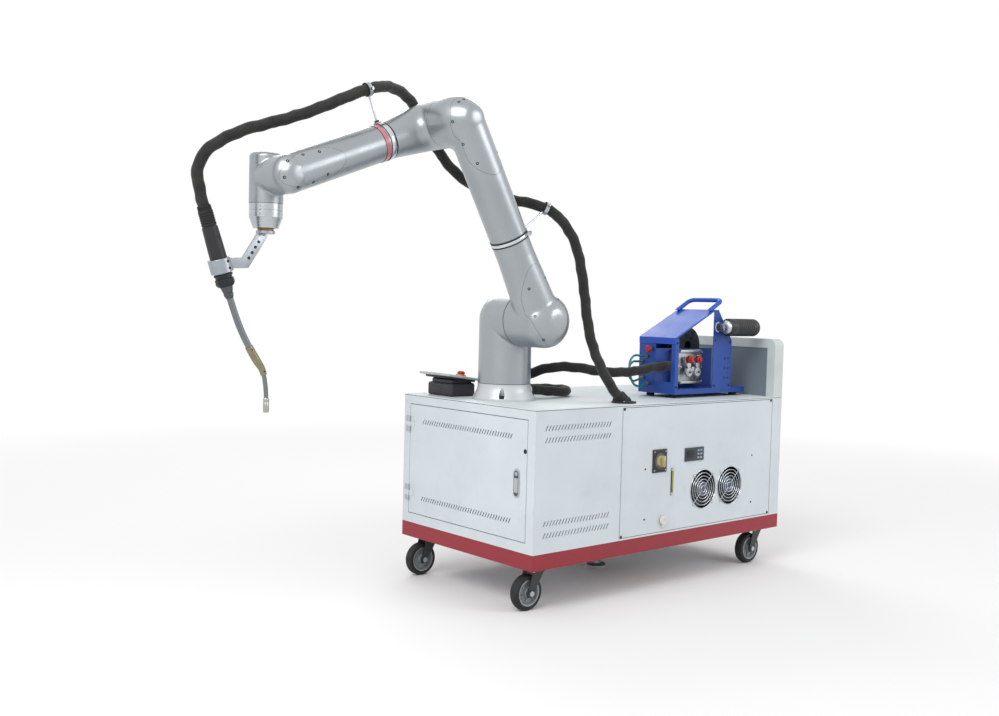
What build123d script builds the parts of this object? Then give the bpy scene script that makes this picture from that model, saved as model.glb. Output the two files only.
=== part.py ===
from build123d import *
import math
import os

# A six-axis welding robot arm on its wheeled cabinet, in millimetres.
# The origin is on the floor under the middle of the cabinet, at the pad of the floor lock.
# +X runs along the cabinet to its far end, -Y is the panelled long side, +Z is up.
# The arm stands at the door end and reaches out over the door, along -X.

# Cabinet
CABINET_LENGTH = 1400.0
CABINET_WIDTH = 750.0
DECK_TOP = 700.0
FRAME_BOTTOM = 150.0
FRAME_HEIGHT = 56.0
FRAME_WALL = 4.0
FRAME_FLANGE = 60.0
SHEET = 2.0
PANEL_GAP = 2.0
PANEL_LIP = 20.0
PANEL_LAP = 5.0
DECK_SHEET = 3.0
ROBOT_PLATE = 12.0
ROBOT_PLATE_SIZE = 320.0
SEAM_X = -274.0
SERVICE_END_X = 636.0
SERVICE_TOP = 691.0
SERVICE_BOTTOM = 213.0

# Vents: rows of slots that lean over, cut through the sheet
SLOT_WIDTH = 4.0
SLOT_HEIGHT = 22.0
SLOT_LEAN = 12.0
DOOR_SLOTS = 37
DOOR_SLOT_PITCH = 14.0
DOOR_SLOT_ROWS = (306.0, 600.0)
SIDE_SLOTS = 22
SIDE_SLOT_PITCH = 14.8
SIDE_SLOT_MIDDLE = -493.0
SIDE_SLOT_ROWS = (268.0, 309.0, 595.0, 636.0)

# Door in the end face
DOOR_HALF_WIDTH = 335.0
DOOR_BOTTOM = 244.0
DOOR_TOP = 662.0
DOOR_GAP = 2.5
DOOR_RIM = 22.0
HINGE_RADIUS = 4.5
HINGE_PIN = 2.2
HINGE_LENGTH = 60.0
HINGE_HEIGHTS = (320.0, 586.0)
HINGE_LEAF = 26.0
HINGE_CLEAR = 1.0
LATCH_LENGTH = 100.0
LATCH_WIDTH = 32.0
LATCH_DEPTH = 4.0
LATCH_INSET = 49.0
LATCH_Z = 441.0

# Raised end of the deck
UPRIGHT_HEIGHT = 240.0
UPRIGHT_DEPTH = 60.0
UPRIGHT_CORNER = 30.0
UPRIGHT_BORDER = 38.0
LINING_DEPTH = 3.0
LINING_RECESS = 8.0

# Castors
CASTOR_INSET_X = 75.0
CASTOR_INSET_Y = 70.0
CASTOR_PLATE = 100.0
CASTOR_PLATE_THICK = 5.0
WHEEL_RADIUS = 62.5
WHEEL_WIDTH = 36.0
CASTOR_TRAIL = 36.0
FORK_SHEET = 4.0
FORK_GAP = 4.0
AXLE_RADIUS = 6.0
SWIVEL_RADIUS = 26.0
SWIVEL_HEIGHT = 8.0
CHEEK_HALF = 15.0
CHEEK_LOW = 14.0
TYRE_ROUND = 7.0
HUB_OUTER = 44.0
HUB_INNER = 16.0
HUB_HOLLOW = 6.0

# Floor lock
LOCK_PAD_RADIUS = 38.0
LOCK_PAD_HEIGHT = 16.0
LOCK_STEM_RADIUS = 16.0
LOCK_BODY = (110.0, 90.0, 70.0)

# Service panel fittings
FAN_CENTRES = ((197.0, 355.0), (363.0, 355.0))
FAN_RADIUS = 76.0
FAN_BORE_GAP = 4.0
FAN_DEPTH = 32.0
FAN_FRAME = 160.0
FAN_HUB = 31.0
FAN_STRUT = 10.0
FAN_STRUT_DEPTH = 5.0
FAN_FRONT_GAP = 1.0
BLADE_THICK = 2.4
BLADE_CHORD = 24.0
BLADE_PITCH = 35.0
FAN_BLADES = 7
GUARD_WIRE = 1.6
GUARD_RINGS = 6
SWITCH_CENTRE = (-66.0, 484.0)
SWITCH_SIZE = (78.0, 87.0)
SWITCH_THICK = 5.0
KNOB_RADIUS = 22.0
KNOB_BASE = 10.0
KNOB_GRIP = 14.0
KNOB_GRIP_WIDTH = 12.0
DISPLAY_CENTRE = (135.0, 496.0)
DISPLAY_SIZE = (111.0, 52.0)
DISPLAY_THICK = 6.0
GAUGE_CENTRE = (10.0, 399.0)
GAUGE_SIZE = (14.0, 104.0)
GAUGE_DEPTH = 4.0
DRAIN_CENTRE = (-42.0, 258.0)
DRAIN_RADIUS = 16.0
DRAIN_COLLAR = 14.0
DRAIN_STUB = 10.0

# Robot base and column
J1_X = -520.0
FOOT_RADIUS = 116.5
FOOT_HEIGHT = 62.0
FOOT_LIP = 9.0
FLARE_OUT = 5.0
FLARE_UP = 0.55
COLUMN_RADIUS = 98.0
BOLT_CIRCLE = 103.0
BOLT_RADIUS = 5.5
POCKET_RADIUS = 15.0
POCKET_FLOOR = 10.0
POCKET_HEIGHT = 46.0
POCKET_TIP = 2.0
SOCKET_RADIUS = 25.0
SOCKET_OUT = 6.0
SHOULDER_HEIGHT = 297.0
MATE_SIDE = 95.0
JOINT_GAP = 0.3
WALL = 8.0

# Upper arm
UPPER_LENGTH = 762.0
UPPER_LEAN = 29.35
UPPER_SIDE = 190.0
UPPER_RADIUS = 67.0
SHOULDER_RADIUS = 96.0
SHOULDER_CROWN_SIDE = 205.0
SHOULDER_CROWN = 80.0
SHOULDER_BLEND = 30.0
ELBOW_RADIUS = 84.0
ELBOW_CROWN_SIDE = 116.0
ELBOW_CROWN = 143.0
ELBOW_BLEND = 40.0
DOME_FULLNESS = 0.86
TAPER_LENGTH = 260.0
TAPER_RADIUS = 80.0

# Forearm
FORE_DROP = 21.8
ELBOW_TAPER = 190.0
ELBOW_TURN_BLEND = 40.0
RING_DISTANCE = 232.0
RING_WIDTH = 14.0
RING_PROUD = 1.5
FORE_LENGTH = 590.0
FORE_RADIUS = 62.0
FORE_COVER = (120.0, 54.0)
FORE_COVER_BACK = 65.0
FORE_COVER_CUT = 15.0
WRIST_MATE = 64.0

# Wrist and tool flange
WRIST_SIDE = -140.0
WRIST_RADIUS = 55.0
WRIST_STEP = 2.0
WRIST_BLEND = 12.0
WRIST_EDGE = 14.0
WRIST_TOP = 77.0
WRIST_BOTTOM = 85.0
FLANGE_BODY = 45.0
FLANGE_BEVEL = 34.0
FLANGE_BEVEL_RADIUS = 40.0
FLANGE_NECK_RADIUS = 26.0
FLANGE_NECK = 8.0

os.makedirs("parts", exist_ok=True)


def save(node, solid):
    """Write one named piece to its own file."""
    solid.label = node
    export_step(solid, f"parts/{node}.step")


def block(x0, x1, y0, y1, z0, z1):
    """A box between two corners."""
    return Pos((x0 + x1) / 2, (y0 + y1) / 2, (z0 + z1) / 2) * Box(x1 - x0, y1 - y0, z1 - z0)


def rod(start, end, radius):
    """A round bar from one point to another."""
    start = Vector(start)
    run = Vector(end) - start
    return extrude(Plane(start, z_dir=run) * Circle(radius), run.length)


def side_plate(points, y0, y1):
    """A flat shape in X and Z, from one Y to another."""
    face = Plane(origin=(0, y0, 0), x_dir=(1, 0, 0), z_dir=(0, -1, 0)) * Polygon(*points, align=None)
    return extrude(face, abs(y1 - y0), dir=(0, 1 if y1 > y0 else -1, 0))


# Base frame: an inward C channel in a ring, with a cross member that carries the floor lock
FRAME_TOP = FRAME_BOTTOM + FRAME_HEIGHT
HALF_LENGTH = CABINET_LENGTH / 2
HALF_WIDTH = CABINET_WIDTH / 2


def ring(outer_length, outer_width, inset, z0, z1):
    """An upright rectangular ring of one wall thickness."""
    outside = Box(outer_length, outer_width, z1 - z0)
    inside = Box(outer_length - 2 * inset, outer_width - 2 * inset, z1 - z0)
    return Pos(0, 0, (z0 + z1) / 2) * (outside - inside)


CROSS_HALF = 50.0

web = ring(CABINET_LENGTH, CABINET_WIDTH, FRAME_WALL, FRAME_BOTTOM, FRAME_TOP)
low_flange = ring(CABINET_LENGTH, CABINET_WIDTH, FRAME_FLANGE, FRAME_BOTTOM, FRAME_BOTTOM + FRAME_WALL)
top_flange = ring(CABINET_LENGTH, CABINET_WIDTH, FRAME_FLANGE, FRAME_TOP - FRAME_WALL, FRAME_TOP)
cross_reach = HALF_WIDTH - FRAME_WALL / 2
cross = block(-CROSS_HALF, CROSS_HALF, -cross_reach, cross_reach, FRAME_BOTTOM, FRAME_TOP - FRAME_WALL)
cross -= block(
    -CROSS_HALF + FRAME_WALL,
    CROSS_HALF - FRAME_WALL,
    -HALF_WIDTH,
    HALF_WIDTH,
    FRAME_BOTTOM + FRAME_WALL,
    FRAME_TOP,
)
base_frame = web + low_flange + top_flange + cross
save("base_frame", base_frame)

# Floor lock: a body under the cross member, a stem and a round pad on the floor
lock_top = FRAME_BOTTOM
lock_length, lock_width, lock_height = LOCK_BODY
floor_lock = block(
    -lock_length / 2, lock_length / 2, -lock_width / 2, lock_width / 2, lock_top - lock_height, lock_top
)
floor_lock += Pos(0, 0, LOCK_PAD_HEIGHT) * Cylinder(
    LOCK_STEM_RADIUS, lock_top - lock_height - LOCK_PAD_HEIGHT, align=(Align.CENTER, Align.CENTER, Align.MIN)
)
floor_lock += Cylinder(LOCK_PAD_RADIUS, LOCK_PAD_HEIGHT, align=(Align.CENTER, Align.CENTER, Align.MIN))
save("floor_lock", floor_lock)

# Cabinet shell: sheet walls and a floor, open for the door and the service panel
SHELL_TOP = DECK_TOP - DECK_SHEET
shell = block(-HALF_LENGTH, HALF_LENGTH, -HALF_WIDTH, HALF_WIDTH, FRAME_TOP, SHELL_TOP)
shell -= block(
    -HALF_LENGTH + SHEET,
    HALF_LENGTH - SHEET,
    -HALF_WIDTH + SHEET,
    HALF_WIDTH - SHEET,
    FRAME_TOP + SHEET,
    SHELL_TOP,
)
lip_block = block(
    SEAM_X - PANEL_LAP,
    SERVICE_END_X + PANEL_LAP,
    -HALF_WIDTH + SHEET,
    -HALF_WIDTH + 2 * SHEET,
    SERVICE_BOTTOM - PANEL_LAP,
    SERVICE_TOP + PANEL_LAP,
)
shell += lip_block
shell -= block(SEAM_X, SERVICE_END_X, -HALF_WIDTH, -HALF_WIDTH + SHEET, SERVICE_BOTTOM, SERVICE_TOP)
shell -= block(
    SEAM_X + PANEL_LIP,
    SERVICE_END_X - PANEL_LIP,
    -HALF_WIDTH,
    -HALF_WIDTH + 2 * SHEET,
    SERVICE_BOTTOM + PANEL_LIP,
    SERVICE_TOP - PANEL_LIP,
)
door_hole = block(
    -HALF_LENGTH,
    -HALF_LENGTH + SHEET,
    -DOOR_HALF_WIDTH - DOOR_GAP,
    DOOR_HALF_WIDTH + DOOR_GAP,
    DOOR_BOTTOM - DOOR_GAP,
    DOOR_TOP + DOOR_GAP,
)
shell -= door_hole


def slots(count, pitch, rows):
    """Leaning slots in rows, drawn flat with their middle at the origin."""
    lean_turn = math.degrees(math.atan2(SLOT_HEIGHT, SLOT_LEAN))
    drawn = Sketch()
    for row in rows:
        for number in range(count):
            across = (number - (count - 1) / 2) * pitch
            drawn += Pos(across, row) * Rot(0, 0, lean_turn) * SlotOverall(SLOT_HEIGHT, SLOT_WIDTH)
    return drawn


side_face = Plane(origin=(SIDE_SLOT_MIDDLE, -HALF_WIDTH, 0), x_dir=(1, 0, 0), z_dir=(0, -1, 0))
shell -= extrude(side_face * slots(SIDE_SLOTS, SIDE_SLOT_PITCH, SIDE_SLOT_ROWS), SHEET * 2, both=True)
save("cabinet_shell", shell)

# Service panel, seated on the lip and cut for its fittings
panel_front = -HALF_WIDTH
panel_back = -HALF_WIDTH + SHEET
service_panel = block(
    SEAM_X + PANEL_GAP,
    SERVICE_END_X - PANEL_GAP,
    panel_front,
    panel_back,
    SERVICE_BOTTOM + PANEL_GAP,
    SERVICE_TOP - PANEL_GAP,
)


def into_panel(x, z, radius, length):
    """A round bar through the panel, along Y."""
    return Pos(x, panel_front, z) * Rot(90, 0, 0) * Cylinder(radius, length)


for x, z in FAN_CENTRES:
    service_panel -= into_panel(x, z, FAN_RADIUS, 4 * SHEET)
service_panel -= into_panel(*DRAIN_CENTRE, DRAIN_RADIUS / 2 + JOINT_GAP, 4 * SHEET)
save("service_panel", service_panel)

# Fan housings with their guards in front, and the two rotors
guards = None
for number, (x, z) in enumerate(FAN_CENTRES):
    side = FAN_FRAME / 2
    frame = block(x - side, x + side, panel_back, panel_back + FAN_DEPTH, z - side, z + side)
    frame -= Pos(x, panel_back + FAN_DEPTH / 2, z) * Rot(90, 0, 0) * Cylinder(FAN_RADIUS, 2 * FAN_DEPTH)
    strut_y0 = panel_back + FAN_DEPTH - FAN_STRUT_DEPTH
    strut_reach = FAN_RADIUS + SHEET
    strut = Box(2 * strut_reach, FAN_STRUT_DEPTH, FAN_STRUT)
    frame += Pos(x, strut_y0 + FAN_STRUT_DEPTH / 2, z) * strut
    frame += Pos(x, strut_y0 + FAN_STRUT_DEPTH / 2, z) * Rot(90, 0, 0) * Cylinder(FAN_HUB, FAN_STRUT_DEPTH)
    for turn in range(GUARD_RINGS):
        radius = FAN_RADIUS * (turn + 1) / GUARD_RINGS
        frame += Pos(x, panel_front - GUARD_WIRE, z) * Rot(90, 0, 0) * (
            Cylinder(radius + GUARD_WIRE, 2 * GUARD_WIRE) - Cylinder(radius - GUARD_WIRE, 2 * GUARD_WIRE)
        )
    for spoke in range(4):
        frame += Pos(x, panel_front - GUARD_WIRE, z) * Rot(0, 45 + 90 * spoke, 0) * (
            Pos(FAN_RADIUS / 2, 0, 0) * Box(FAN_RADIUS, 2 * GUARD_WIRE, 2 * GUARD_WIRE)
        )
    guards = frame if guards is None else guards + frame
    hub_depth = FAN_DEPTH - FAN_STRUT_DEPTH - FAN_FRONT_GAP - JOINT_GAP
    hub_y = panel_back + FAN_FRONT_GAP + hub_depth / 2
    rotor = Pos(x, hub_y, z) * Rot(90, 0, 0) * Cylinder(FAN_HUB, hub_depth)
    for blade in range(FAN_BLADES):
        span = FAN_RADIUS - FAN_BORE_GAP
        vane = Box(span - FAN_HUB + SHEET, BLADE_THICK, BLADE_CHORD)
        vane = Pos((FAN_HUB + span) / 2 - SHEET / 2, 0, 0) * Rot(BLADE_PITCH, 0, 0) * vane
        rotor += Pos(x, hub_y, z) * Rot(0, 360 / FAN_BLADES * blade, 0) * vane
    save(f"fan_rotor_{number + 1}", rotor)
save("fan_guards", guards)

# Power switch: square plate on the panel with a turning knob
switch_x, switch_z = SWITCH_CENTRE
switch_plate = block(
    switch_x - SWITCH_SIZE[0] / 2,
    switch_x + SWITCH_SIZE[0] / 2,
    panel_front - SWITCH_THICK,
    panel_front,
    switch_z - SWITCH_SIZE[1] / 2,
    switch_z + SWITCH_SIZE[1] / 2,
)
save("switch_plate", switch_plate)
knob_face = panel_front - SWITCH_THICK - JOINT_GAP
knob = Pos(switch_x, knob_face - KNOB_BASE / 2, switch_z) * Rot(90, 0, 0) * Cylinder(KNOB_RADIUS, KNOB_BASE)
knob += block(
    switch_x - KNOB_GRIP_WIDTH / 2,
    switch_x + KNOB_GRIP_WIDTH / 2,
    knob_face - KNOB_BASE - KNOB_GRIP,
    knob_face - KNOB_BASE,
    switch_z - KNOB_RADIUS,
    switch_z + KNOB_RADIUS,
)
save("switch_knob", knob)

# Temperature display, level gauge and drain cock
display_x, display_z = DISPLAY_CENTRE
display = block(
    display_x - DISPLAY_SIZE[0] / 2,
    display_x + DISPLAY_SIZE[0] / 2,
    panel_front - DISPLAY_THICK,
    panel_front,
    display_z - DISPLAY_SIZE[1] / 2,
    display_z + DISPLAY_SIZE[1] / 2,
)
save("display", display)
gauge_x, gauge_z = GAUGE_CENTRE
gauge = block(
    gauge_x - GAUGE_SIZE[0] / 2,
    gauge_x + GAUGE_SIZE[0] / 2,
    panel_front - GAUGE_DEPTH,
    panel_front,
    gauge_z - GAUGE_SIZE[1] / 2,
    gauge_z + GAUGE_SIZE[1] / 2,
)
save("level_gauge", gauge)
drain = into_panel(*DRAIN_CENTRE, DRAIN_RADIUS / 2, 2 * DRAIN_STUB)
drain += Pos(0, -(DRAIN_STUB + DRAIN_COLLAR) / 2, 0) * into_panel(*DRAIN_CENTRE, DRAIN_RADIUS, DRAIN_COLLAR)
save("drain_cock", drain)

# Deck: a sheet with a rim folded down outside, and a thick plate under the robot
deck = block(-HALF_LENGTH, HALF_LENGTH, -HALF_WIDTH, HALF_WIDTH, DECK_TOP - DECK_SHEET, DECK_TOP)
deck += block(
    J1_X - ROBOT_PLATE_SIZE / 2,
    J1_X + ROBOT_PLATE_SIZE / 2,
    -ROBOT_PLATE_SIZE / 2,
    ROBOT_PLATE_SIZE / 2,
    DECK_TOP - DECK_SHEET - ROBOT_PLATE,
    DECK_TOP - DECK_SHEET,
)
save("deck", deck)

# Raised end of the deck with a recessed lining
upright_inner = HALF_LENGTH - UPRIGHT_DEPTH
upright = block(
    upright_inner, HALF_LENGTH, -HALF_WIDTH, HALF_WIDTH, DECK_TOP, DECK_TOP + UPRIGHT_HEIGHT
)
upright = fillet(upright.edges().filter_by(Axis.X).group_by(Axis.Z)[-1], UPRIGHT_CORNER)
upright -= block(
    upright_inner + LINING_RECESS + SHEET,
    HALF_LENGTH - SHEET,
    -HALF_WIDTH + UPRIGHT_CORNER,
    HALF_WIDTH - UPRIGHT_CORNER,
    DECK_TOP + SHEET,
    DECK_TOP + UPRIGHT_HEIGHT - SHEET,
)
upright -= block(
    upright_inner,
    upright_inner + LINING_RECESS,
    -HALF_WIDTH + UPRIGHT_BORDER,
    HALF_WIDTH - UPRIGHT_BORDER,
    DECK_TOP,
    DECK_TOP + UPRIGHT_HEIGHT - UPRIGHT_BORDER,
)
save("end_upright", upright)
lining = block(
    upright_inner + LINING_RECESS - LINING_DEPTH,
    upright_inner + LINING_RECESS,
    -HALF_WIDTH + UPRIGHT_BORDER,
    HALF_WIDTH - UPRIGHT_BORDER,
    DECK_TOP,
    DECK_TOP + UPRIGHT_HEIGHT - UPRIGHT_BORDER,
)
save("upright_lining", lining)

# Door: a shallow tray with a rim, hung on outside pins at the far edge, with a paddle latch
door = block(
    -HALF_LENGTH, -HALF_LENGTH + DOOR_RIM, -DOOR_HALF_WIDTH, DOOR_HALF_WIDTH, DOOR_BOTTOM, DOOR_TOP
)
door -= block(
    -HALF_LENGTH + SHEET,
    -HALF_LENGTH + DOOR_RIM,
    -DOOR_HALF_WIDTH + SHEET,
    DOOR_HALF_WIDTH - SHEET,
    DOOR_BOTTOM + SHEET,
    DOOR_TOP - SHEET,
)
door_face = Plane(origin=(-HALF_LENGTH, 0, 0), x_dir=(0, -1, 0), z_dir=(-1, 0, 0))
door -= extrude(door_face * slots(DOOR_SLOTS, DOOR_SLOT_PITCH, DOOR_SLOT_ROWS), SHEET * 2, both=True)
hinge_x = -HALF_LENGTH - HINGE_RADIUS
hinge_y = DOOR_HALF_WIDTH + DOOR_GAP / 2


def knuckle(z, length):
    """A hinge barrel section with a bore for the pin."""
    barrel = Cylinder(HINGE_RADIUS, length) - Cylinder(HINGE_PIN + JOINT_GAP, length)
    return Pos(hinge_x, hinge_y, z) * barrel


third = HINGE_LENGTH / 3
hinges = None
for height in HINGE_HEIGHTS:
    leaf_half = (third - HINGE_CLEAR) / 2
    door_leaf = block(
        -HALF_LENGTH - SHEET,
        -HALF_LENGTH,
        hinge_y - SHEET - HINGE_LEAF,
        hinge_y - HINGE_CLEAR,
        height - leaf_half,
        height + leaf_half,
    )
    door += door_leaf - Pos(hinge_x, hinge_y, height) * Cylinder(HINGE_PIN + JOINT_GAP, third)
    door += knuckle(height, third - HINGE_CLEAR)
    pin = Pos(hinge_x, hinge_y, height) * Cylinder(HINGE_PIN, HINGE_LENGTH)
    for end in (-1, 1):
        middle = height + end * third
        piece = knuckle(middle, third)
        piece += block(
            -HALF_LENGTH - SHEET,
            -HALF_LENGTH,
            hinge_y + SHEET,
            hinge_y + HINGE_LEAF,
            middle - third / 2,
            middle + third / 2,
        )
        pin += piece
        pin += Pos(hinge_x, hinge_y, middle) * Cylinder(HINGE_RADIUS, third)
    hinges = pin if hinges is None else hinges + pin
save("door", door)
save("door_hinges", hinges)
latch_face = Plane(
    origin=(-HALF_LENGTH, -DOOR_HALF_WIDTH + LATCH_INSET, LATCH_Z), x_dir=(0, 0, 1), z_dir=(-1, 0, 0)
)
latch = extrude(latch_face * SlotOverall(LATCH_LENGTH, LATCH_WIDTH), LATCH_DEPTH)
save("door_latch", latch)

# Castors at the four corners: plate, swivelling fork and wheel
plate_bottom = FRAME_BOTTOM - CASTOR_PLATE_THICK
fork_top = plate_bottom - SWIVEL_HEIGHT
castor_plates = None
for side_x, x_name in ((-1, "door_end"), (1, "far_end")):
    for side_y, y_name in ((-1, "near"), (1, "back")):
        x = side_x * (HALF_LENGTH - CASTOR_INSET_X)
        y = side_y * (HALF_WIDTH - CASTOR_INSET_Y)
        plate = Box(CASTOR_PLATE, CASTOR_PLATE, CASTOR_PLATE_THICK)
        plate = Pos(x, y, FRAME_BOTTOM - CASTOR_PLATE_THICK / 2) * plate
        castor_plates = plate if castor_plates is None else castor_plates + plate
        race = Pos(x, y, fork_top + SWIVEL_HEIGHT / 2 - JOINT_GAP / 2) * Cylinder(
            SWIVEL_RADIUS, SWIVEL_HEIGHT - JOINT_GAP
        )
        half = WHEEL_WIDTH / 2 + FORK_GAP + FORK_SHEET
        bridge = Pos(x, y, fork_top - FORK_SHEET / 2) * Box(2 * SWIVEL_RADIUS, 2 * half, FORK_SHEET)
        fork = race + bridge
        axle_x = x - CASTOR_TRAIL
        for ear in (-1, 1):
            inner = y + ear * (half - FORK_SHEET)
            outer = y + ear * half
            low, high = min(inner, outer), max(inner, outer)
            cheek = (
                (x - SWIVEL_RADIUS, fork_top),
                (x + SWIVEL_RADIUS, fork_top),
                (axle_x + CHEEK_HALF, WHEEL_RADIUS),
                (axle_x + CHEEK_HALF - SHEET, WHEEL_RADIUS - CHEEK_LOW),
                (axle_x - CHEEK_HALF + SHEET, WHEEL_RADIUS - CHEEK_LOW),
                (axle_x - CHEEK_HALF, WHEEL_RADIUS),
            )
            fork += side_plate(cheek, low, high)
        axle = Cylinder(AXLE_RADIUS, 2 * (half + FORK_SHEET))
        fork += Pos(axle_x, y, WHEEL_RADIUS) * Rot(90, 0, 0) * axle
        save(f"castor_fork_{x_name}_{y_name}", fork)
        wheel = Cylinder(WHEEL_RADIUS, WHEEL_WIDTH)
        wheel = fillet(wheel.edges().filter_by(GeomType.CIRCLE), TYRE_ROUND)
        wheel -= Cylinder(AXLE_RADIUS + JOINT_GAP, WHEEL_WIDTH)
        for face in (-1, 1):
            hollow = Cylinder(HUB_OUTER, 2 * HUB_HOLLOW) - Cylinder(HUB_INNER, 2 * HUB_HOLLOW)
            wheel -= Pos(0, 0, face * WHEEL_WIDTH / 2) * hollow
        save(f"castor_wheel_{x_name}_{y_name}", Pos(axle_x, y, WHEEL_RADIUS) * Rot(90, 0, 0) * wheel)
save("castor_plates", castor_plates)

# Robot foot: a flared ring bolted to the deck, with a pocket over each bolt
foot_top = DECK_TOP + FOOT_HEIGHT
with_flare = Polyline(
    (0, DECK_TOP), (FOOT_RADIUS, DECK_TOP), (FOOT_RADIUS, DECK_TOP + FOOT_LIP)
) + Spline(
    (FOOT_RADIUS, DECK_TOP + FOOT_LIP),
    (COLUMN_RADIUS + FLARE_OUT, DECK_TOP + FLARE_UP * FOOT_HEIGHT),
    (COLUMN_RADIUS, foot_top),
    tangents=((-0.5, 1), (0, 1)),
) + Polyline((COLUMN_RADIUS, foot_top), (0, foot_top), (0, DECK_TOP))
foot = revolve(Plane.XZ * make_face(with_flare), Axis.Z)
foot = Pos(J1_X, 0, 0) * foot
for corner in range(4):
    place = Pos(J1_X, 0, DECK_TOP) * Rot(0, 0, 45 + 90 * corner) * Pos(BOLT_CIRCLE, 0, 0)
    pocket = Cone(POCKET_RADIUS, POCKET_TIP, POCKET_HEIGHT, align=(Align.CENTER, Align.CENTER, Align.MIN))
    foot -= place * Pos(0, 0, POCKET_FLOOR) * pocket
    foot -= place * Cylinder(BOLT_RADIUS, 4 * POCKET_FLOOR)
socket_z = DECK_TOP + FOOT_HEIGHT / 2
socket_face = J1_X + FOOT_RADIUS + SOCKET_OUT
foot += rod((J1_X + COLUMN_RADIUS / 2, 0, socket_z), (socket_face, 0, socket_z), SOCKET_RADIUS)
save("robot_foot", foot)

# Column: upright round housing that turns over into the shoulder joint
shoulder = Vector(J1_X, 0, DECK_TOP + SHOULDER_HEIGHT)
half_gap = JOINT_GAP / 2


def column_form(skin):
    """The column's outer form, taken in by a skin thickness."""
    radius = COLUMN_RADIUS - skin
    bottom = foot_top + JOINT_GAP + skin
    mate = MATE_SIDE - half_gap - skin
    form = rod((J1_X, 0, bottom), shoulder, radius)
    form += Pos(shoulder.X, shoulder.Y, shoulder.Z) * Sphere(radius)
    form += rod(shoulder, shoulder + Vector(0, -mate, 0), radius)
    low, high = shoulder.Z - radius, shoulder.Z + radius
    return form - block(J1_X - radius, J1_X + radius, -2 * COLUMN_RADIUS, -mate, low, high)


column = column_form(0) - column_form(WALL)
save("column", column)


def bulb(radius, start, crown_start, crown, skin):
    """A joint housing about the side axis: a drum that closes in a dome."""
    r = radius - skin
    s0 = start + skin
    rise = crown - skin
    side = Polyline((0, s0), (r, s0), (r, crown_start))
    haunches = [
        (
            r * math.cos(math.radians(a)) ** DOME_FULLNESS,
            crown_start + rise * math.sin(math.radians(a)) ** DOME_FULLNESS,
        )
        for a in (30, 60)
    ]
    dome = Spline((r, crown_start), *haunches, (0, crown_start + rise), tangents=((0, 1), (-1, 0)))
    back = Line((0, crown_start + rise), (0, s0))
    return Rot(90, 0, 0) * revolve(make_face(side + dome + back), Axis.Y)


# Upper arm: two domed joint housings on a round tube, in a frame that follows the arm
lean = math.radians(UPPER_LEAN)
UPPER = Plane(origin=shoulder, x_dir=(-math.sin(lean), 0, math.cos(lean)), z_dir=(0, -1, 0))
mate_start = MATE_SIDE + half_gap


def upper_form(skin):
    """The upper arm's form, taken in by a skin thickness."""
    wide = TAPER_RADIUS - skin
    slim = UPPER_RADIUS - skin
    limb = Polyline(
        (0, 0), (0, wide), (TAPER_LENGTH, slim), (UPPER_LENGTH, slim), (UPPER_LENGTH, 0), close=True
    )
    limb = Pos(0, 0, UPPER_SIDE) * revolve(make_face(limb), Axis.X)
    low = bulb(SHOULDER_RADIUS, mate_start, SHOULDER_CROWN_SIDE, SHOULDER_CROWN, skin)
    high = Pos(UPPER_LENGTH, 0, 0) * bulb(ELBOW_RADIUS, mate_start, ELBOW_CROWN_SIDE, ELBOW_CROWN, skin)
    return low + limb + high


def blended(form, radius, chosen):
    """A form with the chosen meeting lines of its parts rounded."""
    lines = form.edges().filter_by(GeomType.BSPLINE)
    return fillet([line for line in lines if chosen(line.center())], radius)


upper_outside = blended(upper_form(0), SHOULDER_BLEND, lambda at: at.X < UPPER_LENGTH / 2)
upper_outside = blended(upper_outside, ELBOW_BLEND, lambda at: at.X > UPPER_LENGTH / 2)
upper_solid = upper_outside - upper_form(WALL)
COVER_CUT = 176.0
COVER_HALF_WIDTH = 78.0
upper_body = upper_solid
for name, centre, reach in (("shoulder_cover", 74.0, 156.0), ("elbow_cover", UPPER_LENGTH - 60.0, 165.0)):
    oval = Pos(centre, 0, COVER_CUT) * extrude(Ellipse(reach, COVER_HALF_WIDTH), COVER_CUT)
    save(name, UPPER.location * (upper_solid & oval))
    upper_body -= oval
save("upper_arm", UPPER.location * upper_body)

# Elbow: sphere, stub to the upper arm and a taper down to the status ring
drop = math.radians(FORE_DROP)
elbow_point = UPPER.from_local_coords(Vector(UPPER_LENGTH, 0, 0))
FORE = Plane(origin=elbow_point, x_dir=(-math.cos(drop), 0, -math.sin(drop)), z_dir=(0, -1, 0))
ring_start = RING_DISTANCE - RING_WIDTH / 2
ring_end = RING_DISTANCE + RING_WIDTH / 2


def elbow_form(skin):
    """The elbow housing's form, taken in by a skin thickness."""
    radius = ELBOW_RADIUS - skin
    form = Sphere(radius)
    form += Cylinder(radius, MATE_SIDE - half_gap - skin, align=(Align.CENTER, Align.CENTER, Align.MIN))
    form += Rot(0, 90, 0) * Cone(
        radius, FORE_RADIUS - skin, ELBOW_TAPER - skin, align=(Align.CENTER, Align.CENTER, Align.MIN)
    )
    form += Rot(0, 90, 0) * Cylinder(
        FORE_RADIUS - skin, ring_start - skin, align=(Align.CENTER, Align.CENTER, Align.MIN)
    )
    return form


elbow_outside = blended(elbow_form(0), ELBOW_TURN_BLEND, lambda at: True)
save("elbow", FORE.location * (elbow_outside - elbow_form(WALL)))
status_ring = Pos(ring_start, 0, 0) * Rot(0, 90, 0) * Cylinder(
    FORE_RADIUS + RING_PROUD, RING_WIDTH - JOINT_GAP, align=(Align.CENTER, Align.CENTER, Align.MIN)
)
save("status_ring", FORE.location * status_ring)


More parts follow.
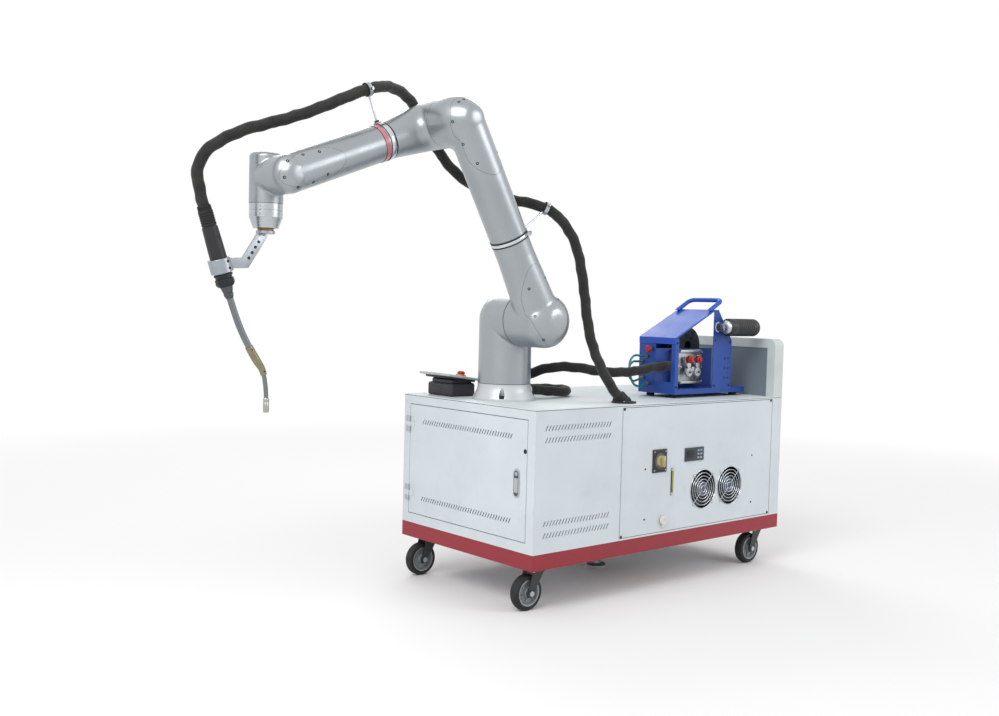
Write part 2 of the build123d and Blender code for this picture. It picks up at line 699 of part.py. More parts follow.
def forearm_form(skin):
    """The forearm's form: a tube that closes over the wrist joint."""
    start = ring_end + skin
    tube = Pos(start, 0, 0) * Rot(0, 90, 0) * Cylinder(
        FORE_RADIUS - skin, FORE_LENGTH - start, align=(Align.CENTER, Align.CENTER, Align.MIN)
    )
    end = Pos(FORE_LENGTH, 0, 0) * bulb(FORE_RADIUS, -WRIST_MATE + half_gap, 0, FORE_RADIUS, skin)
    return tube + end


fore_solid = forearm_form(0) - forearm_form(WALL)
fore_oval = extrude(Ellipse(*FORE_COVER), 2 * FORE_RADIUS)
fore_oval = Pos(FORE_LENGTH - FORE_COVER_BACK, 0, FORE_COVER_CUT) * fore_oval
save("forearm", FORE.location * (fore_solid - fore_oval))
save("forearm_cover", FORE.location * (fore_solid & fore_oval))

# Wrist: an upright barrel beside the forearm's end, with a stub that meets it
wrist_point = FORE.from_local_coords(Vector(FORE_LENGTH, 0, 0))
wrist_axis = wrist_point + Vector(0, -WRIST_SIDE, 0)


def wrist_form(skin):
    """The wrist housing's form, taken in by a skin thickness."""
    radius = WRIST_RADIUS - skin
    low = wrist_axis - Vector(0, 0, WRIST_BOTTOM - skin)
    high = wrist_axis + Vector(0, 0, WRIST_TOP - skin)
    barrel = rod(low, high, radius)
    barrel = fillet(barrel.edges().group_by(Axis.Z)[-1], WRIST_EDGE)
    stub_start = wrist_point + Vector(0, WRIST_MATE + half_gap + skin, 0)
    stub = rod(stub_start, wrist_axis, radius - WRIST_STEP)
    return barrel + stub


wrist_outside = blended(wrist_form(0), WRIST_BLEND, lambda at: True)
save("wrist", wrist_outside - wrist_form(WALL))

# Tool flange: the last turning section, bevelled down to a neck
flange_top = wrist_axis.Z - WRIST_BOTTOM - JOINT_GAP
flange_profile = Polyline(
    (0, flange_top),
    (WRIST_RADIUS - 1, flange_top),
    (WRIST_RADIUS - 1, flange_top - FLANGE_BODY),
    (FLANGE_BEVEL_RADIUS, flange_top - FLANGE_BODY - FLANGE_BEVEL),
    (FLANGE_NECK_RADIUS, flange_top - FLANGE_BODY - FLANGE_BEVEL),
    (FLANGE_NECK_RADIUS, flange_top - FLANGE_BODY - FLANGE_BEVEL - FLANGE_NECK),
    (0, flange_top - FLANGE_BODY - FLANGE_BEVEL - FLANGE_NECK),
    close=True,
)
flange = Pos(wrist_axis.X, wrist_axis.Y, 0) * revolve(Plane.XZ * make_face(flange_profile), Axis.Z)
save("tool_flange", flange)

# Torch bracket: a slotted bar from the flange to a split clamp on the torch
flange_low = flange_top - FLANGE_BODY - FLANGE_BEVEL - FLANGE_NECK
torch_y = wrist_axis.Y
BRACKET_THICK = 14.0
BRACKET_WIDTH = 40.0
BRACKET_FOOT_RADIUS = 31.0
BRACKET_FOOT = 10.0
CLAMP_RADIUS = 36.0
CLAMP_LENGTH = 46.0
TORCH_GRIP_RADIUS = 27.0
TORCH_TAIL_RADIUS = 23.0
TORCH_TILT = 18.0
TORCH_GRIP_LENGTH = 92.0
TORCH_TAIL_LENGTH = 125.0
TORCH_NUT_RADIUS = 31.0
TORCH_NUT_LENGTH = 44.0
TORCH_NUT_CONE = 8.0
TORCH_NUT_GAP = 2.0
CLAMP_REACH = 156.0
CLAMP_DROP = 292.0
BRACKET_ELBOW = (70.0, 282.0)
NECK_RADIUS = 10.0
SHEATH_RADIUS = 13.5
NOZZLE_RADIUS = 11.0
NOZZLE_LENGTH = 42.0
HOSE_RADIUS = 20.0


def torch_point(forward, down):
    """A point in the torch's plane, forward of and below the wrist point."""
    return Vector(wrist_axis.X - forward, torch_y, wrist_axis.Z - down)


tilt = math.radians(TORCH_TILT)
torch_up = Vector(-math.sin(tilt), 0, math.cos(tilt))
clamp_middle = torch_point(CLAMP_REACH, CLAMP_DROP)
TORCH = Plane(origin=clamp_middle, x_dir=(math.cos(tilt), 0, math.sin(tilt)), z_dir=torch_up)
bracket_foot = Cylinder(BRACKET_FOOT_RADIUS, BRACKET_FOOT)
bracket_foot = Pos(wrist_axis.X, torch_y, flange_low - BRACKET_FOOT / 2) * bracket_foot
bar_start = Vector(wrist_axis.X - BRACKET_THICK / 2, torch_y, flange_low - BRACKET_FOOT / 2)
bar_elbow = torch_point(*BRACKET_ELBOW)
bar_plane = Plane(origin=(0, torch_y, 0), x_dir=(1, 0, 0), z_dir=(0, -1, 0))


def bar(start, end, width, thickness):
    """A flat bar in the torch's plane between two points, with round ends."""
    run = end - start
    middle = (start + end) / 2
    angle = math.degrees(math.atan2(run.Z, run.X))
    shape = SlotCenterToCenter(run.length, width)
    flat = Plane(origin=middle, x_dir=(1, 0, 0), z_dir=(0, -1, 0)) * Rot(0, 0, angle) * shape
    return extrude(flat, thickness / 2, both=True)


bracket = bracket_foot
bracket += bar(bar_start, bar_elbow, BRACKET_WIDTH, BRACKET_THICK)
bracket += bar(bar_elbow, clamp_middle, BRACKET_WIDTH, BRACKET_THICK)
bracket += TORCH.location * Cylinder(CLAMP_RADIUS, CLAMP_LENGTH)
bracket -= TORCH.location * Cylinder(TORCH_GRIP_RADIUS, 2 * CLAMP_LENGTH)
nut_room = TORCH_NUT_LENGTH + CLAMP_LENGTH / 2
bracket -= TORCH.location * Pos(0, 0, -CLAMP_LENGTH / 2) * Cylinder(
    TORCH_NUT_RADIUS + 1, nut_room, align=(Align.CENTER, Align.CENTER, Align.MAX)
)
bracket -= block(
    wrist_axis.X - BRACKET_WIDTH,
    wrist_axis.X + BRACKET_WIDTH,
    torch_y - BRACKET_WIDTH,
    torch_y + BRACKET_WIDTH,
    flange_low,
    flange_low + BRACKET_WIDTH,
)
save("torch_bracket", bracket)

# Torch body: a black grip in the clamp, a tail that takes the hose and a nut below
grip_low = -CLAMP_LENGTH / 2
grip_high = grip_low + TORCH_GRIP_LENGTH
tail_high = grip_high + TORCH_TAIL_LENGTH
nut_low = grip_low - TORCH_NUT_LENGTH
torch_profile = Polyline(
    (0, nut_low),
    (TORCH_NUT_RADIUS - TORCH_NUT_CONE, nut_low),
    (TORCH_NUT_RADIUS, nut_low + TORCH_NUT_CONE),
    (TORCH_NUT_RADIUS, grip_low - TORCH_NUT_GAP),
    (TORCH_GRIP_RADIUS, grip_low),
    (TORCH_GRIP_RADIUS, grip_high),
    (TORCH_TAIL_RADIUS + 1, grip_high + 12),
    (TORCH_TAIL_RADIUS, tail_high),
    (0, tail_high),
    close=True,
)
torch_body = TORCH.location * revolve(Plane.XZ * make_face(torch_profile), Axis.Z)
save("torch_body", torch_body)


def corner_radii(points, share=0.45):
    """The largest radius that each corner of a route allows."""
    radii = []
    for before, at, after in zip(points, points[1:], points[2:]):
        turn = math.radians((at - before).get_angle(after - at))
        shorter = min((at - before).length, (after - at).length)
        radii.append(share * shorter / math.tan(turn / 2))
    return radii


def tube(points, radius, radii=None):
    """A round tube along straight runs joined by tangent arcs."""
    radii = radii or corner_radii(points)
    path = FilletPolyline(*points, radius=radii)
    section = Plane(points[0], z_dir=points[1] - points[0]) * Circle(radius)
    solid = sweep(section, path=path)
    ideal = math.pi * radius * radius * path.length
    print("tube", round(path.length), "mm, volume ratio", round(solid.volume / ideal, 4))
    print("radii", [round(r) for r in radii])
    return solid


# Swan neck with its sheath at the bend and the nozzle at the tip
nut_end = TORCH.from_local_coords(Vector(0, 0, nut_low))
neck_lead = TORCH.from_local_coords(Vector(0, 0, nut_low - 30))
neck_route = [
    nut_end,
    neck_lead,
    torch_point(86, 492),
    torch_point(30, 588),
    torch_point(-8, 636),
    torch_point(-12, 720),
]
neck = tube(neck_route, NECK_RADIUS)
neck += rod(torch_point(52, 550), torch_point(6, 618), SHEATH_RADIUS)
neck += rod(torch_point(-12, 716), torch_point(-12, 722 + NOZZLE_LENGTH), NOZZLE_RADIUS)
save("torch_neck", neck)

# Hose clamps: a band on the arm, a rod out from it and a ring round the hose
BAND_WIDTH = 20.0
BAND_THICK = 3.0
ROD_RADIUS = 4.0
CLAMP_RING = 4.0
CLAMP_HALF = 8.0
UPPER_STRAP_AT = 208.0
UPPER_STRAP_OUT = 115.0
LOWER_STRAP_AT = 326.0
LOWER_STRAP_OUT = 140.0
LOWER_STRAP_SHIFT = 18.0


def strap(frame, at, side, arm_radius, out, shift, hose_run):
    """A clamp in the frame of its arm: band, rod out from it and hose ring."""
    centre = frame.from_local_coords(Vector(at, 0, side))
    axis = frame.x_dir
    upward = frame.y_dir if frame.y_dir.Z > 0 else frame.y_dir * -1
    hose_at = centre + upward * (arm_radius + out) + axis * shift
    band = rod(centre - axis * (BAND_WIDTH / 2), centre + axis * (BAND_WIDTH / 2), arm_radius + BAND_THICK)
    band -= rod(centre - axis * BAND_WIDTH, centre + axis * BAND_WIDTH, arm_radius)
    along = Vector(hose_run).normalized()
    away = (upward - along * upward.dot(along)).normalized()
    ring_mid = hose_at - away * (HOSE_RADIUS + CLAMP_RING / 2)
    clamp = band + rod(centre + upward * (arm_radius + 1), ring_mid, ROD_RADIUS)
    clamp += rod(hose_at - along * CLAMP_HALF, hose_at + along * CLAMP_HALF, HOSE_RADIUS + CLAMP_RING)
    beyond = along * 3 * CLAMP_HALF
    clamp -= rod(hose_at - beyond, hose_at + beyond, HOSE_RADIUS + JOINT_GAP)
    return clamp, hose_at


# The hose pack, clamp by clamp: each stretch between two bodies is a piece of its own
DECK_LIE = DECK_TOP + HOSE_RADIUS + JOINT_GAP
upper_run = Vector(0.94, 0.0, 0.34).normalized()
lower_run = Vector(0.863, -0.354, -0.361).normalized()
upper_strap, upper_hold = strap(FORE, UPPER_STRAP_AT, 0, FORE_RADIUS, UPPER_STRAP_OUT, 0, upper_run)
lower_strap, lower_hold = strap(
    UPPER, LOWER_STRAP_AT, UPPER_SIDE, UPPER_RADIUS, LOWER_STRAP_OUT, LOWER_STRAP_SHIFT, lower_run
)
save("upper_hose_clamp", upper_strap)
save("lower_hose_clamp", lower_strap)

HOLD_HALF = 34.0
torch_tail = TORCH.from_local_coords(Vector(0, 0, tail_high))
gland_at = Vector(-190, -300, DECK_TOP)
gland_run = Vector(0.67, -0.19, -0.72).normalized()
GLAND_STUB = 36.0
GLAND_RADIUS = 27.0
GLAND_FLANGE = 46.0
GLAND_PLATE = 7.0
STRAIGHT_RUN = 62.0
GLAND_LEAD = 42.0
gland_mouth = gland_at - gland_run * GLAND_STUB
gland = rod(gland_at, gland_at + Vector(0, 0, GLAND_PLATE), GLAND_FLANGE)
gland += rod(gland_at + gland_run * GLAND_STUB, gland_mouth, GLAND_RADIUS)
gland -= block(
    gland_at.X - GLAND_FLANGE,
    gland_at.X + 2 * GLAND_FLANGE,
    gland_at.Y - 2 * GLAND_FLANGE,
    gland_at.Y + GLAND_FLANGE,
    DECK_TOP - 2 * GLAND_FLANGE,
    DECK_TOP,
)
save("deck_gland", gland)

route = [
    torch_tail,
    torch_tail + torch_up * STRAIGHT_RUN,
    Vector(-1683, 137, 1456),
    Vector(-1650, 125, 1517),
    Vector(-1556, 101, 1574),
    Vector(-1492, 85, 1598),
    Vector(-1412, 64, 1626),
    Vector(-1341, 40, 1656),
    Vector(-1281, 22, 1686),
    upper_hold - upper_run * HOLD_HALF,
    upper_hold + upper_run * HOLD_HALF,
    Vector(-1062, 24, 1778),
    Vector(-975, 58, 1778),
    Vector(-890, 98, 1748),
    Vector(-822, 124, 1687),
    Vector(-764, 122, 1604),
    Vector(-712, 84, 1524),
    Vector(-655, 6, 1462),
    Vector(-606, -88, 1430),
    lower_hold - lower_run * HOLD_HALF,
    lower_hold + lower_run * HOLD_HALF,
    Vector(-428, -208, 1346),
    Vector(-378, -212, 1285),
    Vector(-350, -217, 1195),
    Vector(-337, -226, 1095),
    Vector(-332, -238, 997),
    Vector(-316, -252, 908),
    Vector(-284, -268, 830),
    gland_mouth - gland_run * GLAND_LEAD,
    gland_mouth,
]


route_radii = corner_radii(route)
last_point = len(route) - 1


def stretch(first, last):
    """A piece of the hose between the middles of two runs, or from or to an end of it."""
    points = route[first + 1 : last + 1]
    start = [(route[first] + route[first + 1]) / 2] if first > 0 else [route[0]]
    end = [(route[last] + route[last + 1]) / 2] if last + 1 < last_point else [route[last_point]]
    return tube(start + points + end, HOSE_RADIUS, route_radii[first:last])


CUTS = (0, 3, 6, 9, 19, 23, last_point - 1)
STRETCHES = ("hose_tool", "hose_wrist", "hose_forearm", "hose_elbow", "hose_shoulder", "hose_column")
for name, first, last in zip(STRETCHES, CUTS, CUTS[1:]):
    save(name, stretch(first, last))

# Base cable: from the feeder's brass connector, over the deck in one loop, to the foot's socket
CONNECTOR = Vector(205, -190, 825)
base_route = [
    CONNECTOR,
    CONNECTOR - Vector(82, 0, 0),
    Vector(30, -178, 808),
    Vector(-62, -160, 801),
    Vector(-152, -130, 806),
    Vector(-238, -94, 822),
    Vector(-312, -44, 822),
    Vector(-362, 18, 798),
    Vector(-376, 84, 758),
    Vector(-348, 146, 727),
    Vector(-282, 180, DECK_LIE),
    Vector(-206, 166, DECK_LIE),
    Vector(-152, 112, DECK_LIE),
    Vector(-150, 42, DECK_LIE),
    Vector(-202, -4, DECK_LIE),
    Vector(-270, -14, DECK_LIE + 2),
    Vector(socket_face + STRAIGHT_RUN, 0, socket_z),
    Vector(socket_face, 0, socket_z),
]
print("base_cable")
save("base_cable", tube(base_route, HOSE_RADIUS))

# Wire feeder: tray on feet, post, panels, sloped cover with a handle, drive unit and spool
FEED_X0 = 150.0
FEED_X1 = 600.0
FEED_Y0 = -255.0
FEED_Y1 = -65.0
FEED_FOOT = 15.0
FEED_FOOT_RADIUS = 14.0
FEED_FOOT_INSET = 35.0
FEED_SKID = 20.0
FEED_END_WALL = 28.0
FEED_SHEET = 2.5
FEED_LOW = 940.0
FEED_HIGH = 1055.0
COVER_END_X = 385.0
COVER_CREST = 30.0
COVER_SKIRT = 24.0
POST = 20.0
BULKHEAD_Y = -150.0
BULKHEAD_TOP = 895.0
COVER_GAP = 4.0
PANEL_END_X = 505.0
PANEL_SHOULDER = 930.0
skid_low = DECK_TOP + FEED_FOOT
skid_top = skid_low + FEED_SKID
skid_face = skid_top - FEED_SHEET
feeder = block(FEED_X0, FEED_X1, FEED_Y0, FEED_Y1, skid_low, skid_top)
feeder -= block(
    FEED_X0 + FEED_SHEET,
    FEED_X1 - FEED_SHEET,
    FEED_Y0 + FEED_SHEET,
    FEED_Y1 - FEED_SHEET,
    skid_low,
    skid_face,
)
foot_height = skid_face - DECK_TOP + FEED_SHEET / 2
feed_foot = Cylinder(FEED_FOOT_RADIUS, foot_height, align=(Align.CENTER, Align.CENTER, Align.MIN))
for x in (FEED_X0 + FEED_FOOT_INSET, FEED_X1 - FEED_FOOT_INSET):
    for y in (FEED_Y0 + FEED_FOOT_INSET, FEED_Y1 - FEED_FOOT_INSET):
        feeder += Pos(x, y, DECK_TOP) * feed_foot
under_cover = FEED_LOW - COVER_GAP
feeder += block(FEED_X0, FEED_X0 + POST, FEED_Y0, FEED_Y0 + POST, skid_face, under_cover)
feeder += block(FEED_X0, FEED_X0 + FEED_SHEET, BULKHEAD_Y, FEED_Y1, skid_face, under_cover)
feeder += block(FEED_X0, FEED_X0 + FEED_SHEET, FEED_Y0, BULKHEAD_Y, skid_face, skid_top + FEED_END_WALL)
crest_x = COVER_END_X + COVER_CREST
wall_top = FEED_HIGH - COVER_GAP
back_wall = (
    (FEED_X0, skid_face),
    (PANEL_END_X, skid_face),
    (PANEL_END_X, PANEL_SHOULDER),
    (crest_x, wall_top),
    (COVER_END_X, wall_top),
    (FEED_X0, under_cover),
)
feeder += side_plate(back_wall, FEED_Y1, FEED_Y1 - FEED_SHEET)
feeder += side_plate(((COVER_END_X, skid_face),) + back_wall[1:5], FEED_Y0, FEED_Y0 + FEED_SHEET)
feeder += block(FEED_X0, PANEL_END_X, BULKHEAD_Y - FEED_SHEET, BULKHEAD_Y, skid_face, BULKHEAD_TOP)
save("feeder_frame", feeder)

HANDLE_RADIUS = 9.0
HANDLE_BEND = 24.0
HANDLE_INSET = 12.0
HANDLE_REACH = 62.0
HANDLE_RISE = 40.0
HANDLE_ROOT = 30.0
HANDLE_SINK = 10.0
skirt_low = FEED_LOW - COVER_SKIRT
cover_profile = (
    (FEED_X0 - FEED_SHEET, skirt_low),
    (FEED_X0 - FEED_SHEET, FEED_LOW),
    (COVER_END_X, FEED_HIGH),
    (crest_x, FEED_HIGH),
    (crest_x, wall_top),
    (COVER_END_X, wall_top),
    (FEED_X0, under_cover),
    (FEED_X0, skirt_low),
)
feeder_cover = side_plate(cover_profile, FEED_Y1, FEED_Y0)
root_x = COVER_END_X - HANDLE_ROOT
root_z = FEED_HIGH - HANDLE_SINK
grip_x = COVER_END_X + HANDLE_REACH
grip_z = FEED_HIGH + HANDLE_RISE
handle_route = [
    Vector(root_x, FEED_Y0 + HANDLE_INSET, root_z),
    Vector(grip_x, FEED_Y0 + HANDLE_INSET, grip_z),
    Vector(grip_x, FEED_Y1 - HANDLE_INSET, grip_z),
    Vector(root_x, FEED_Y1 - HANDLE_INSET, root_z),
]
handle_path = FilletPolyline(*handle_route, radius=HANDLE_BEND)
handle_section = Plane(handle_route[0], z_dir=handle_route[1] - handle_route[0]) * Circle(HANDLE_RADIUS)
handle = sweep(handle_section, path=handle_path)
handle -= block(FEED_X0, FEED_X1, FEED_Y0, FEED_Y1, FEED_LOW, wall_top)
feeder_cover += handle
save("feeder_cover", feeder_cover)

# Drive unit: a cast plate block on the bulkhead with two pressure knobs over two roller caps
DRIVE_X = (235.0, 383.0)
DRIVE_Z = (752.0, 890.0)
DRIVE_DEPTH = 55.0
DRIVE_KNOB = (15.0, 28.0, 852.0)
DRIVE_ROLLER = (19.0, 16.0, 800.0)
DRIVE_SPREAD = 27.0
drive_back = BULKHEAD_Y - FEED_SHEET
drive_face = drive_back - DRIVE_DEPTH
drive = block(*DRIVE_X, drive_face, drive_back, *DRIVE_Z)
drive_middle = sum(DRIVE_X) / 2
for x in (drive_middle - DRIVE_SPREAD, drive_middle + DRIVE_SPREAD):
    for radius, length, z in (DRIVE_KNOB, DRIVE_ROLLER):
        drive += rod((x, drive_face, z), (x, drive_face - length, z), radius)
save("drive_unit", drive)

# Wire spool: two flanges and a core on a spindle behind the drive unit
SPOOL_X = 350.0
SPOOL_Z = 905.0
SPOOL_RADIUS = 76.0
SPOOL_CORE = 45.0
SPOOL_WIDTH = 62.0
SPOOL_FLANGE = 6.0
spool_far = BULKHEAD_Y + SPOOL_WIDTH
spool = rod((SPOOL_X, BULKHEAD_Y, SPOOL_Z), (SPOOL_X, spool_far, SPOOL_Z), SPOOL_CORE)
for start in (BULKHEAD_Y, spool_far - SPOOL_FLANGE):
    spool += rod((SPOOL_X, start, SPOOL_Z), (SPOOL_X, start + SPOOL_FLANGE, SPOOL_Z), SPOOL_RADIUS)
save("wire_spool", spool)

CONNECTOR_RADIUS = 17.0
save("hose_connector", rod(CONNECTOR, (DRIVE_X[0], CONNECTOR.Y, CONNECTOR.Z), CONNECTOR_RADIUS))

# Wire inlet: a bent fitting on the side panel and a round black body with the wire's bore
INLET_Z = 985.0
INLET_OUT = 45.0
INLET_END_X = 592.0
INLET_RADIUS = 36.0
INLET_STEM_RADIUS = 22.0
INLET_BORE = 9.0
INLET_BORE_LENGTH = 40.0
inlet_x = COVER_END_X + INLET_STEM_RADIUS
inlet_y = FEED_Y0 - INLET_OUT
inlet = rod((inlet_x, FEED_Y0, INLET_Z), (inlet_x, inlet_y, INLET_Z), INLET_STEM_RADIUS)
inlet += rod((inlet_x, inlet_y, INLET_Z), (INLET_END_X, inlet_y, INLET_Z), INLET_RADIUS)
bore_x = INLET_END_X - INLET_BORE_LENGTH
inlet -= rod((bore_x, inlet_y, INLET_Z), (INLET_END_X, inlet_y, INLET_Z), INLET_BORE)
save("wire_inlet", inlet)

# Hand control on the deck behind the foot: a block body, a neck and a tilted plate
PENDANT_X = -590.0
PENDANT_Y = 235.0
PENDANT_BODY = (130.0, 150.0, 52.0)
PENDANT_CORNER = 18.0
PENDANT_PLATE = (190.0, 190.0, 18.0)
PENDANT_PLATE_SHIFT = 10.0
PENDANT_PLATE_HEIGHT = 72.0
PENDANT_TILT = 8.0
PENDANT_NECK = (90.0, 110.0, 16.0)
PENDANT_NECK_HEIGHT = 58.0
BUTTON_SHIFT = (10.0, -50.0)
BUTTON_RADIUS = 15.0
BUTTON_HEAD = 14.0
BUTTON_STEM_RADIUS = 6.0
BUTTON_TRAVEL = 4.0
BUTTON_SOCKET = 12.0
pendant = Pos(PENDANT_X, PENDANT_Y, DECK_TOP + PENDANT_BODY[2] / 2) * Box(*PENDANT_BODY)
pendant = fillet(pendant.edges().filter_by(Axis.Z), PENDANT_CORNER)
pendant += Pos(PENDANT_X, PENDANT_Y, DECK_TOP + PENDANT_NECK_HEIGHT) * Box(*PENDANT_NECK)
plate_middle = Pos(PENDANT_X - PENDANT_PLATE_SHIFT, PENDANT_Y, DECK_TOP + PENDANT_PLATE_HEIGHT)
plate_place = plate_middle * Rot(0, PENDANT_TILT, 0)
pendant += plate_place * Box(*PENDANT_PLATE)
button_place = plate_place * Pos(
    BUTTON_SHIFT[0] + PENDANT_PLATE_SHIFT, BUTTON_SHIFT[1], PENDANT_PLATE[2] / 2
)
upwards = (Align.CENTER, Align.CENTER, Align.MIN)
downwards = (Align.CENTER, Align.CENTER, Align.MAX)
pendant -= button_place * Cylinder(BUTTON_STEM_RADIUS + JOINT_GAP, BUTTON_SOCKET, align=downwards)
save("pendant", pendant)
head_low = BUTTON_TRAVEL + JOINT_GAP
stem_low = BUTTON_SOCKET - BUTTON_TRAVEL - 2 * JOINT_GAP
stem = Cylinder(BUTTON_STEM_RADIUS, stem_low + BUTTON_HEAD, align=upwards)
button = button_place * Pos(0, 0, head_low) * Cylinder(BUTTON_RADIUS, BUTTON_HEAD, align=upwards)
button += button_place * Pos(0, 0, -stem_low) * stem
save("stop_button", button)
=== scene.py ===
import math

import bpy
from mathutils import Matrix, Vector, noise
from mathutils.bvhtree import BVHTree


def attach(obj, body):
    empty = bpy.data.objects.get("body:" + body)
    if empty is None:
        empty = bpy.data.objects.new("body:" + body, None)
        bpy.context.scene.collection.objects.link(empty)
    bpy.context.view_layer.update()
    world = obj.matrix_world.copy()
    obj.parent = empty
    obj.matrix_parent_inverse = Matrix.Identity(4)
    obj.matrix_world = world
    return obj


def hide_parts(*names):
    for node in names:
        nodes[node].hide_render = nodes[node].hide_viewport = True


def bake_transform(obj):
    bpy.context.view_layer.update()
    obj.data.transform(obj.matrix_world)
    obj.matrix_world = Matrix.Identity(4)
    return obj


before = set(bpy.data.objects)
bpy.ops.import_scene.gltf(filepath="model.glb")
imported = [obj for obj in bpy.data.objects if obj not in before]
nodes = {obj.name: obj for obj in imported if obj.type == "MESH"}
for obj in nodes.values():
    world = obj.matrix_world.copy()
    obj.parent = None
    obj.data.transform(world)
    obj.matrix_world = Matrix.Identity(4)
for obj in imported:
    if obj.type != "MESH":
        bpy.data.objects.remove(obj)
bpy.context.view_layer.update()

# Camera: stands off the corner between the door and the panelled long side, a little
# above the deck, looking slightly down and leaning a degree and a half.
camera_place = Vector((-3.1721, -3.0438, 1.0411))
camera_turn, camera_pitch, camera_roll = (math.radians(a) for a in (40.788, -2.654, 1.507))
ahead = Vector(
    (
        math.sin(camera_turn) * math.cos(camera_pitch),
        math.cos(camera_turn) * math.cos(camera_pitch),
        math.sin(camera_pitch),
    )
)
level_right = Vector((math.cos(camera_turn), -math.sin(camera_turn), 0))
level_up = level_right.cross(ahead)
right = level_right * math.cos(camera_roll) + level_up * math.sin(camera_roll)
up = level_up * math.cos(camera_roll) - level_right * math.sin(camera_roll)
camera_data = bpy.data.cameras.new("camera")
camera_data.sensor_width = 36
camera_data.lens = 39.18
camera_data.clip_end = 60
camera = bpy.data.objects.new("camera", camera_data)
camera.matrix_world = Matrix(
    (
        (right.x, up.x, -ahead.x, camera_place.x), (right.y, up.y, -ahead.y, camera_place.y),
        (right.z, up.z, -ahead.z, camera_place.z), (0, 0, 0, 1),
    )
)
bpy.context.scene.collection.objects.link(camera)
bpy.context.scene.camera = camera


# Hose pack: a bundle of welding cable, gas and water lines in one textile sleeve, wound on
# so that its folds run round it at a slant. It is one hose from the torch to the deck, cut
# into stretches where it is tied, so that each stretch lies between two joints of the arm.
def linear(code):
    """An sRGB hex colour as linear RGBA."""
    parts = [int(code[i : i + 2], 16) / 255 for i in (0, 2, 4)]
    return tuple(
        c / 12.92 if c <= 0.04045 else ((c + 0.055) / 1.055) ** 2.4 for c in parts
    ) + (1.0,)


def add_node(tree, kind, settings=None, links=None):
    """A shader node with its values set and its inputs linked."""
    made = tree.nodes.new(kind)
    for key, value in (settings or {}).items():
        if key in made.inputs:
            made.inputs[key].default_value = value
        else:
            setattr(made, key, value)
    for key, source in (links or {}).items():
        tree.links.new(source, made.inputs[key])
    return made


def new_material(name, **settings):
    """A node material with its shader's own values set, and its tree and shader."""
    material = bpy.data.materials.new(name)
    material.use_nodes = True
    shader = material.node_tree.nodes["Principled BSDF"]
    for key, value in settings.items():
        shader.inputs[key.replace("_", " ")].default_value = value
    return material, material.node_tree, shader


def ramp(tree, source, low, high, low_at=0.3, high_at=0.7):
    """A colour or grey ramp between two colours."""
    made = add_node(tree, "ShaderNodeValToRGB", {}, {"Fac": source})
    made.color_ramp.elements[0].color = low
    made.color_ramp.elements[0].position = low_at
    made.color_ramp.elements[1].color = high
    made.color_ramp.elements[1].position = high_at
    return made.outputs["Color"]


def grey(value):
    """A grey of one value."""
    return (value, value, value, 1.0)


def woven(name, dark, light):
    """Textile sleeve: a plain weave along the hose, with lighter and darker patches of dust and
    wear at random.
    """
    material, tree, shader = new_material(
        name, Roughness=0.88, Sheen_Weight=0.2, Sheen_Roughness=0.45
    )
    along = add_node(tree, "ShaderNodeUVMap", {"uv_map": "along"}).outputs["UV"]
    # threads about 1.5 mm apart in fact, drawn at 3 mm so that they can be seen
    weave = "ShaderNodeTexWave"
    warp = add_node(tree, weave, {"bands_direction": "X", "Scale": 105.0}, {"Vector": along})
    weft = add_node(tree, weave, {"bands_direction": "Y", "Scale": 105.0}, {"Vector": along})
    cloth = add_node(
        tree, "ShaderNodeMath", {"operation": "MULTIPLY"}, {
            0: warp.outputs["Fac"], 1: weft.outputs["Fac"]
        }
    )
    place = add_node(tree, "ShaderNodeTexCoord").outputs["Object"]
    patches = add_node(
        tree, "ShaderNodeTexNoise", {
            "Scale": 24.0, "Detail": 6.0, "Roughness": 0.62
        }, {"Vector": place}
    )
    tone = ramp(tree, patches.outputs["Fac"], linear(dark), linear(light), 0.34, 0.7)
    tree.links.new(tone, shader.inputs["Base Color"])
    bump = add_node(
        tree, "ShaderNodeBump", {
            "Strength": 0.45, "Distance": 0.0006
        }, {"Height": cloth.outputs["Value"]}
    )
    tree.links.new(bump.outputs["Normal"], shader.inputs["Normal"])
    return material


HOSE_DIAMETER = 0.040
FOLD_PITCH = 0.078
SLEEVE_SIDES = 28
sleeve = woven("woven_textile_sleeve", "101211", "2A2C27")


def smooth_line(name, points):
    """The smooth line of a route, read from its own NURBS spline, with no bevel."""
    curve = bpy.data.curves.new(name, "CURVE")
    curve.dimensions = "3D"
    curve.resolution_u = 24
    spline = curve.splines.new("NURBS")
    spline.points.add(len(points) - 1)
    for point, place in zip(spline.points, points):
        point.co = (place[0] / 1000, place[1] / 1000, place[2] / 1000, 1)
    spline.order_u = 3
    spline.use_endpoint_u = True
    holder = bpy.data.objects.new(name, curve)
    bpy.context.scene.collection.objects.link(holder)
    bpy.context.view_layer.update()
    mesh = bpy.data.meshes.new_from_object(holder)
    line = [v.co.copy() for v in mesh.vertices]
    bpy.data.objects.remove(holder)
    bpy.data.meshes.remove(mesh)
    bpy.data.curves.remove(curve)
    return line


def even_steps(line, step):
    """Points on a line at even steps, with the first and the last kept."""
    reach = [0.0]
    for a, b in zip(line, line[1:]):
        reach.append(reach[-1] + (b - a).length)
    count = max(2, round(reach[-1] / step))
    made, k = [], 0
    for i in range(count + 1):
        want = reach[-1] * i / count
        while k < len(reach) - 2 and reach[k + 1] < want:
            k += 1
        share = (want - reach[k]) / max(reach[k + 1] - reach[k], 1e-9)
        made.append(line[k].lerp(line[k + 1], share))
    return made


def run_of(line):
    """The length along a line."""
    return sum((b - a).length for a, b in zip(line, line[1:]))


